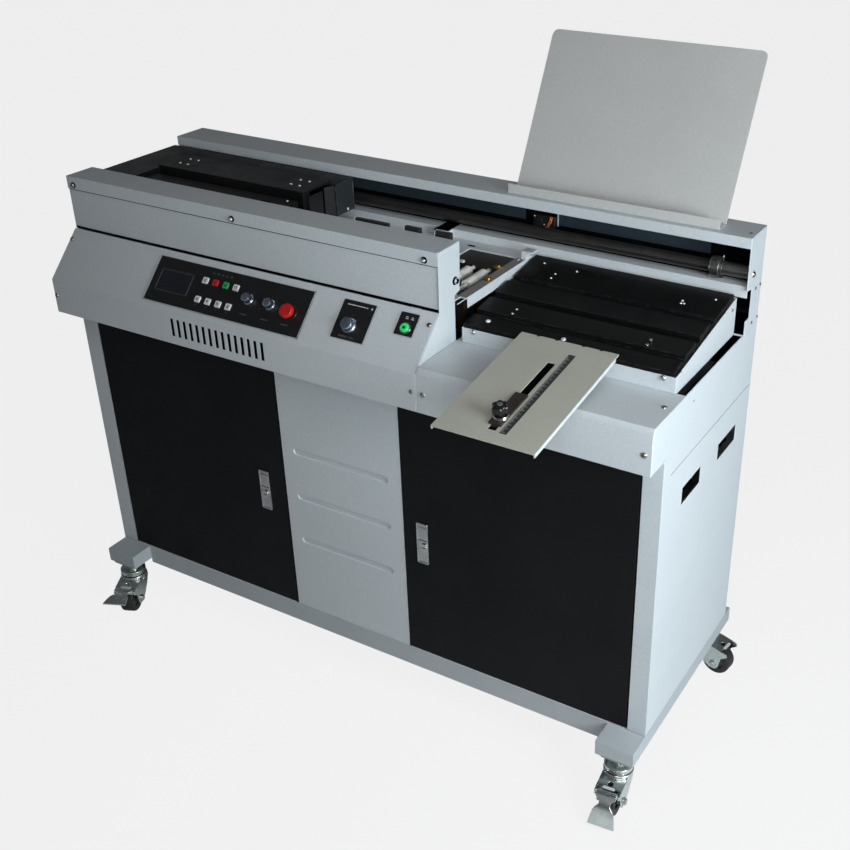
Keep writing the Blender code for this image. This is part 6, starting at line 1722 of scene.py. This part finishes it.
@dataclass
class Works:
    """Carriage, clamp, shaft, rail, deck, milling head and glue station."""

    bar_screws: Sequence[float] = (0.120, 0.141, 0.403, 0.424)
    bar_rows: Point = (0.208, 0.238)
    end_panel: Point = (0.2585, 0.3135, 0.7545, 0.8172)
    end_face: float = 0.812
    fold: Points = ((0.4575, 0.2365), (0.4592, 0.2365), (0.4678, 0.2564), (0.4678, 0.2577),
                             (0.4575, 0.2577))
    oval: Point = (0.396, 0.1225, 0.418, 0.1315)
    shaft_end: Point = (1.2226, 0.352, 0.763)
    sleeve: Points = ((0.0111, 0.0), (0.0135, 0.0), (0.0135, 0.0030), (0.0118, 0.0042),
                               (0.0118, 0.0520), (0.0111, 0.0520))
    collar_rim: Points = ((0.0178, -0.0172), (0.0193, -0.0172), (0.0193, -0.0150), (0.0178, -0.0150))
    rail_gaps: Points = ((0.653, 0.3189, 0.7212, 0.684, 0.3660, 0.74315),
                                  (0.665, 0.3672, 0.7290, 0.675, 0.3984, 0.7560),
                                  (0.620, 0.3900, 0.7000, 0.632, 0.3984, 0.7660))
    rail_marks: Points = ((0.6841, 0.3187, 0.7215, 0.6852, 0.3662, 0.74318),
                                   (0.9285, 0.3460, 0.7429, 0.9335, 0.3500, 0.74312))
    blocks: Points = ((0.638, 0.708, 0.8305), (0.742, 0.774, 0.8335), (0.804, 0.836, 0.8355))
    fittings: Points = ((0.8440, 0.238, 0.7274), (0.8575, 0.178, 0.7274))
    deck_screws: Points = ((0.8530, 0.292, 0.0036), (0.700, 0.310, 0.0030), (0.500, 0.310, 0.0030),
                                    (0.300, 0.310, 0.0030))
    deck_top: float = 0.7270
    teeth: int = 14
    fins: int = 32

    def carriage(self) -> None:
        """End panel, folds and screws of the carriage and the clamp."""
        for node in ("carriage_housing", "clamp_jaw", "clamp_bar"):
            skin(node, BLACK, SHEET_EDGE)
        items = [on(LEVEL, x, y, 0.8228, 0.0027) for x in self.bar_screws for y in self.bar_rows]
        fasteners("clamp_bar_screws", WHITE_SCREW, "clamp", Head.PAN, items)
        y0, y1, z0, z1 = self.end_panel
        side = RIGHT @ Matrix.Translation((0.0, 0.0, -self.end_face))
        outline = rounded((y0, z0), (y1, z1), 0.0012, 2)
        panel = Part().prism(outline, 0.0001, 0.0014)
        panel.box((y0, z0, 0.0013), (y0 + 0.0011, z1, 0.0022))
        panel.box((y1 - 0.0013, z0, 0.0013), (y1, z1, 0.0024))
        add("carriage_end_panel", PANEL_STEEL, "carriage", panel, side, FINE_EDGE)
        folds = Part().box((0.4571, 0.191, 0.757), (0.4583, 0.232, 0.811))
        folds.prism(self.fold, 0.757, 0.8155)
        add("carriage_folds", FOLD_STEEL, "carriage", folds, LEVEL, FINE_EDGE)
        fasteners("carriage_white_screws", WHITE_SCREW, "carriage", Head.PAN,
                  [on(side, 0.293, 0.7600, 0.0014, 0.0030),
                   on(LEVEL, 0.440, 0.150, height_on("carriage_housing", LEVEL, 0.440, 0.150), 0.0024)])
        # painted shade: a flat black oval where the top has an oval slot
        slot = Part().prism(rounded(self.oval[:2], self.oval[2:], 0.0044), -0.0002, 0.0003)
        level = height_on("carriage_housing", LEVEL, 0.407, 0.127)
        add("carriage_oval", BLACK_AND_SHADE, "carriage", slot, LEVEL @ Matrix.Translation((0.0, 0.0, level)))

    def shaft(self) -> None:
        """Shaft, split collar with its screws, and the bearing block at the right."""
        skin("guide_shaft", SHAFT_STEEL, 0.0005)
        skin("shaft_collar", COLLAR_STEEL, 0.0012)
        axis = upright(machine(*self.shaft_end), (1.0, 0.0, 0.0), (0.0, 1.0, 0.0))
        add("shaft_sleeve", COLLAR_STEEL, "cabinet", Part().ring(self.sleeve, 40), axis)
        items = [on(axis, 0.0, side * 0.0150, 0.0001, 0.0036) for side in (-1.0, 1.0)]
        fasteners("collar_screws", DARK_STEEL, "cabinet", Head.SOCKET, items)
        # pale lugs by the collar's screws, painted as highlight
        lugs = Part()
        for side in (-1.0, 1.0):
            centre = side * 0.0152
            lugs.box((0.0050, centre - 0.0052, 0.0001), (0.0068, centre + 0.0052, 0.0016))
        add("collar_lugs", HIGHLIGHT_PALE, "cabinet", lugs, axis)
        add("collar_rim", CHROME, "cabinet", Part().ring(self.collar_rim, 40), axis)

    def rail(self) -> None:
        """Slide rail with painted shade in its gap, its black posts, and painted highlights on the gap's edge
        and a pin.
        """
        skin("slide_rail", GREY, 0.0008)
        add("rail_gap", BLACK_AND_SHADE, "cabinet", Part().boxes(self.rail_gaps), LEVEL)
        add("rail_marks", HIGHLIGHT_PALE, "cabinet", Part().boxes(self.rail_marks), LEVEL)
        blocks = Part()
        for left, right, top in self.blocks:
            blocks.prism(rounded((left, 0.0930), (right, 0.1010), 0.0015, 2), 0.8000, top)
        blocks.box((0.640, 0.0910, 0.7960), (0.834, 0.0928, 0.8060))
        add("cap_blocks", KNOB_BLACK, "cabinet", blocks, LEVEL, 0.0006)
        # painted highlights along the blocks' left and top edges
        lines = Part()
        for left, right, top in self.blocks:
            lines.box((left - 0.0008, 0.0926, 0.8080), (left + 0.0002, 0.1014, top + 0.0004))
            lines.box((left - 0.0008, 0.1004, top - 0.0002), (right, 0.1014, top + 0.0007))
        add("cap_block_edges", HIGHLIGHT_PALE, "cabinet", lines, LEVEL)

    def deck(self) -> None:
        """Deck with a painted highlight on its right edge and its bracket, its screws and fittings."""
        skin("deck_plate", GREY, 0.0008)
        edge = Part().box((0.8662, 0.0600, 0.7269), (0.8674, 0.318, 0.7284))
        edge.prism(rounded((0.8640, 0.298), (0.8800, 0.3185), 0.002, 2), 0.7400, 0.7430)
        edge.box((0.8568, 0.298, 0.7269), (0.8660, 0.3185, 0.7430))
        add("deck_edge", HIGHLIGHT_PALE, "cabinet", edge, LEVEL, FINE_EDGE)
        strip = Part().box((0.8468, 0.0925, 0.7268), (0.8661, 0.2960, 0.7274))
        add("deck_strip", STRIP_GREY, "cabinet", strip, LEVEL)
        fasteners("deck_screws", CHROME, "cabinet", Head.PAN,
                  [on(LEVEL, x, y, self.deck_top, radius) for x, y, radius in self.deck_screws])
        # painted shade in the deck's slot
        slot = Part().prism(rounded((0.733, 0.3085), (0.750, 0.3145), 0.0029), 0.7268, 0.72725)
        add("deck_slot", BLACK_AND_SHADE, "cabinet", slot, LEVEL)
        fit = Part()
        for x, y, z in self.fittings:
            fit.turned(((0.0062, z - 0.0004), (0.0062, z + 0.0030), (0.0054, z + 0.0034)), 6, (x, y))
            fit.turned(((0.0040, z + 0.0030), (0.0040, z + 0.0050), (0.0030, z + 0.0056)), 20, (x, y))
        fit.box((0.834, 0.2345, 0.7268), (0.8445, 0.2415, 0.7296))
        fit.box((0.847, 0.1745, 0.7268), (0.8575, 0.1815, 0.7296))
        add("brass_fittings", BRASS, "cabinet", fit, LEVEL, FINE_EDGE)
        nib = Part().prism(rounded((0.767, 0.228), (0.775, 0.234), 0.001, 2), 0.7268, 0.7310)
        add("deck_nib", WHITE_PLASTIC, "cabinet", nib, LEVEL)

    def milling(self) -> None:
        """Milling head: motor with fins and a terminal box, disc with cutting teeth."""
        skin("milling_motor", DARK_STEEL, 0.0006)
        skin("milling_cutter", STEEL, 0.0005)
        top = middle_of("milling_cutter", LEVEL)
        tooth = Part().prism(((0.0440, -0.0034), (0.0535, -0.0026), (0.0545, 0.0014), (0.0450, 0.0030)),
                             -0.0030, 0.0014)
        body = BODY_OF["milling_cutter"]
        repeated(RING, "cutter_teeth", CHROME, body, tooth, top, Count=self.teeth,
                 First_angle=0.0, Angle_step=math.tau / self.teeth)
        fasteners("cutter_bolts", DARK_STEEL, body, Head.SOCKET,
                  [on(top, 0.020 * math.cos(angle), 0.020 * math.sin(angle), 0.0, 0.0034)
                   for angle in (0.5, 0.5 + math.tau / 3, 0.5 + 2 * math.tau / 3)])
        hub = Part().turned(((0.0120, -0.0003), (0.0120, 0.0030), (0.0100, 0.0040)), 6)
        add("cutter_nut", ZINC, body, hub, top, FINE_EDGE)
        fin = Part().box((0.0415, -0.0009, -0.112), (0.0462, 0.0009, -0.040))
        repeated(RING, "motor_fins", DARK_STEEL, "cabinet", fin, top, Count=self.fins,
                 First_angle=0.0, Angle_step=math.tau / self.fins)

    def glue(self) -> None:
        """Glue tank with its rollers, scrapers, glue and drive."""
        skin("glue_tank", TANK_BLACK, 0.0008)
        for side in ("left", "right"):
            node = f"{side}_glue_roller"
            skin(node, WHITE_ROLLER, 0.0006)
            low, high = span(node, LEVEL)
            ends = Part()
            for y in (low.y - 0.0006, high.y - 0.0002):
                disc = Part().turned(((0.0062, 0.0), (0.0062, 0.0008)), 24)
                ends.join(disc.moved(upright(((low.x + high.x) / 2, y, (low.z + high.z) / 2),
                                             (0.0, 1.0, 0.0))))
            add(f"{side}_roller_ends", CHROME, BODY_OF[node], ends, LEVEL)
        glue = Part().box((0.7455, 0.1255, 0.6900), (0.8455, 0.2345, 0.7030))
        add("hot_glue", GLUE, "cabinet", glue, LEVEL)
        skin("drive_motor", DARK_STEEL, 0.0008)

    def build(self) -> None:
        """Builds the looks of the works."""
        self.carriage()
        self.shaft()
        self.rail()
        self.deck()
        self.milling()
        self.glue()


@dataclass
class CoverTable:
    """Tray, black table plates, nip jaw and the cover guide."""

    white_screws: Points = ((0.902, 0.238), (0.939, 0.210), (0.939, 0.194), (0.971, 0.232),
                                     (0.938, 0.070), (0.938, 0.055), (0.896, 0.037), (0.885, 0.037),
                                     (1.185, 0.209), (1.1853, 0.2005), (1.1908, 0.2013), (1.2355, 0.2334))
    big_screws: Points = ((0.909, 0.0215), (1.0538, 0.0198))
    dark_screws: Points = ((1.1895, 0.0665), (1.1898, 0.0508))
    tray_front: Points = ((0.890, 0.677), (1.2397, 0.677))
    tray_side: Points = ((0.313, 0.7056, 0.0030), (0.088, 0.686, 0.0020))
    ruler: Point = (1.0850, 1.0970, -0.2480, -0.0205)

    @staticmethod
    def on_table(x: float, y: float, radius: float) -> Fastener:
        """Returns a screw on the face of the cover table over a point."""
        return on(TABLE, x, y, height_on("cover_table", TABLE, x, y), radius)

    def table(self) -> None:
        """Black plates with their screws, and edges lightened as worn coat and as painted highlight."""
        skin("table_tray", GREY, SHEET_EDGE)
        skin("cover_table", TABLE_BLACK, 0.0007)
        skin("nip_jaw", TABLE_BLACK, 0.0007)
        body = BODY_OF["cover_table"]
        for name, finish, head, radius, places in (
                ("white", WHITE_SCREW, Head.PAN, 0.0023, self.white_screws),
                ("big", WHITE_SCREW, Head.PAN, 0.0044, self.big_screws),
                ("dark", CHROME, Head.SOCKET, 0.0030, self.dark_screws)):
            fasteners(f"table_{name}_screws", finish, body, head,
                      [self.on_table(x, y, radius) for x, y in places])

    def tray(self) -> None:
        """Screws of the tray's front and side."""
        face = span("table_tray", FRONT)[1].z
        fasteners("tray_front_screws", CHROME, "cabinet", Head.PAN,
                  [on(FRONT, x, z, face, 0.0050) for x, z in self.tray_front])
        side = RIGHT @ Matrix.Translation((0.0, 0.0, span("table_tray", RIGHT)[1].z))
        fasteners("tray_side_screws", SCREW_DARK, "cabinet", Head.PAN,
                  [on(side, y, z, 0.0, radius) for y, z, radius in self.tray_side])

    def rule(self) -> None:
        """Dark rule with light ticks, and a painted highlight on the guide plate's right lip."""
        body = BODY_OF["guide_plate"]
        x0, x1, y0, y1 = self.ruler
        level = height_on("guide_plate", TABLE, (x0 + x1) / 2, (y0 + y1) / 2)
        place = TABLE @ Matrix.Translation((0.0, 0.0, level))
        add("guide_rule", RULE_GREY, body, Part().box((x0, y0, -0.0002), (x1, y1, 0.0004)), place)
        tick = Part().box((x0 + 0.0006, y0 + 0.003, 0.0003), (x0 + 0.0038, y0 + 0.0034, 0.00052))
        count = int((y1 - y0 - 0.006) / 0.002)
        repeated(ROW, "rule_ticks", PRINT_WHITE, body, tick, place, Count=count, Step=(0.0, 0.002, 0.0))
        long = Part().box((x0 + 0.0006, y0 + 0.003, 0.0003), (x0 + 0.0080, y0 + 0.0035, 0.00054))
        repeated(ROW, "rule_long_ticks", PRINT_WHITE, body, long, place, Count=count // 5,
                 Step=(0.0, 0.010, 0.0))
        low, high = span("guide_plate", TABLE)
        lip = Part().box((high.x + 0.00005, low.y + 0.0004, level - 0.0068),
                         (high.x + 0.0003, high.y - 0.0004, level - 0.0003))
        add("guide_lip", HIGHLIGHT_PALE, body, lip, TABLE)

    def slider(self) -> None:
        """Guide plate, its stop block and the lobed knob on a bright boss."""
        skin("guide_plate", BEIGE, 0.0006)
        skin("guide_stop", BRONZE, 0.0004)
        skin("guide_knob", KNOB_GLOSS, 0.0012, 3)
        low, high = span("guide_knob", TABLE)
        place = middle_of("guide_knob", TABLE)
        cap = Part().turned(((0.0046, -0.0002), (0.0046, 0.0006), (0.0040, 0.0010)), 24)
        keeper = span("guide_stop", TABLE)[0].z
        # black sheet painting the shade in the slot under the stop
        cover = Part().box((1.0560, -0.2500, keeper - 0.0012), (1.0840, -0.0150, keeper - 0.0004))
        add("slot_lining", BLACK_AND_SHADE, BODY_OF["guide_plate"], cover, TABLE)
        add("knob_cap", PRINT_GREY, BODY_OF["guide_knob"], cap, place)
        base = low.z - high.z
        boss = Part().ring(((0.0067, base - 0.0001), (0.0128, base - 0.0001), (0.0116, base + 0.0034),
                            (0.0067, base + 0.0040)), 32)
        add("knob_washer", CHROME, BODY_OF["guide_stop"], boss, place)

    def build(self) -> None:
        """Builds the looks of the table."""
        self.table()
        self.tray()
        self.slider()
        self.rule()


@dataclass
class Casters:
    """Four swivelling casters, with pedals on the front ones."""

    top: float = -0.0343
    trail: float = 0.033
    axle: float = -0.081
    corners: Sequence[tuple[str, float, float, float]] = (
        ("front_left", 0.0375, -0.025, -66.0), ("front_right", 1.2425, -0.025, -85.0),
        ("back_left", 0.0375, 0.405, 188.0), ("back_right", 1.2425, 0.405, -8.0))
    tyre_side: Points = ((0.0188, 0.0128), (0.0250, 0.0149), (0.0285, 0.0144), (0.0303, 0.0126),
                                  (0.0310, 0.0095))
    hub_side: Points = ((0.0046, 0.0148), (0.0085, 0.0148), (0.0090, 0.0100), (0.0178, 0.0092),
                                 (0.0189, 0.0127))

    @staticmethod
    def both_sides(side: Points) -> list[Point]:
        """Returns a closed section from its upper half, mirrored."""
        return [(radius, -height) for radius, height in side] + list(reversed(side))

    def wheel(self, corner: str, place: Matrix) -> None:
        """Rounded tyre on a plastic hub.

        Args:
            corner: the caster's name.
            place: the fork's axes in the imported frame.
        """
        body = BODY_OF[f"{corner}_caster_wheel"]
        quarter = Matrix.Rotation(math.radians(90.0), 4, "X")
        axis = place @ Matrix.Translation((self.trail, 0.0, self.axle)) @ quarter
        tyre = Part().ring(self.both_sides(self.tyre_side), 56)
        made = add(f"{corner}_tyre", RUBBER, body, tyre, axis)
        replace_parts(made, f"{corner}_caster_wheel")
        hub = Part().ring(self.both_sides(self.hub_side), 40)
        add(f"{corner}_hub", HUB_GREY, body, hub, axis)

    def fork(self, corner: str, place: Matrix) -> None:
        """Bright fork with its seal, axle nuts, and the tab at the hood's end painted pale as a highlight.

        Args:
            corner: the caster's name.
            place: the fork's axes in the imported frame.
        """
        body = BODY_OF[f"{corner}_caster_fork"]
        skin(f"{corner}_caster_fork", CASTER_ZINC, 0.0006, 3)
        seal = Part().ring(((0.0250, -0.0349), (0.0266, -0.0349), (0.0266, -0.0309), (0.0250, -0.0309)), 48)
        add(f"{corner}_seal", BLACK_AND_SHADE, body, seal, place)
        nuts = []
        for side in (-1.0, 1.0):
            face = place @ upright((self.trail, side * 0.0241, self.axle), (0.0, side, 0.0))
            nuts.append(on(face, 0.0, 0.0, 0.0, 0.0062))
        fasteners(f"{corner}_axle_nuts", ZINC, body, Head.HEX, nuts)
        tab = Part().prism(rounded((0.0475, -0.0112), (0.0532, 0.0112), 0.0010, 2), -0.0434, -0.0416)
        add(f"{corner}_hood_tab", HIGHLIGHT_PALE, body, tab, place, 0.0004)

    def build(self) -> None:
        """Builds the casters' looks."""
        for corner, x, y, turn in self.corners:
            place = Matrix.Translation(machine(x, y, self.top)) @ Matrix.Rotation(math.radians(turn), 4, "Z")
            self.fork(corner, place)
            self.wheel(corner, place)
        for corner in ("front_left", "front_right"):
            skin(f"{corner}_brake_pedal", CASTER_ZINC, 0.0008, 3)


def main() -> None:
    """Builds the studio and every sub-assembly in order and reports each."""
    logging.basicConfig(level=logging.INFO, format="%(message)s")
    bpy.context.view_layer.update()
    for builder in (Studio(), Cabinet(), Doors(), Console(), Controls(), Works(), CoverTable(), Casters()):
        before = set(bpy.data.objects)
        builder.build()
        for made in sorted(set(bpy.data.objects) - before, key=lambda item: item.name):
            LOG.info("%s: %s", type(builder).__name__, made.name)


if __name__ == "__main__":
    main()
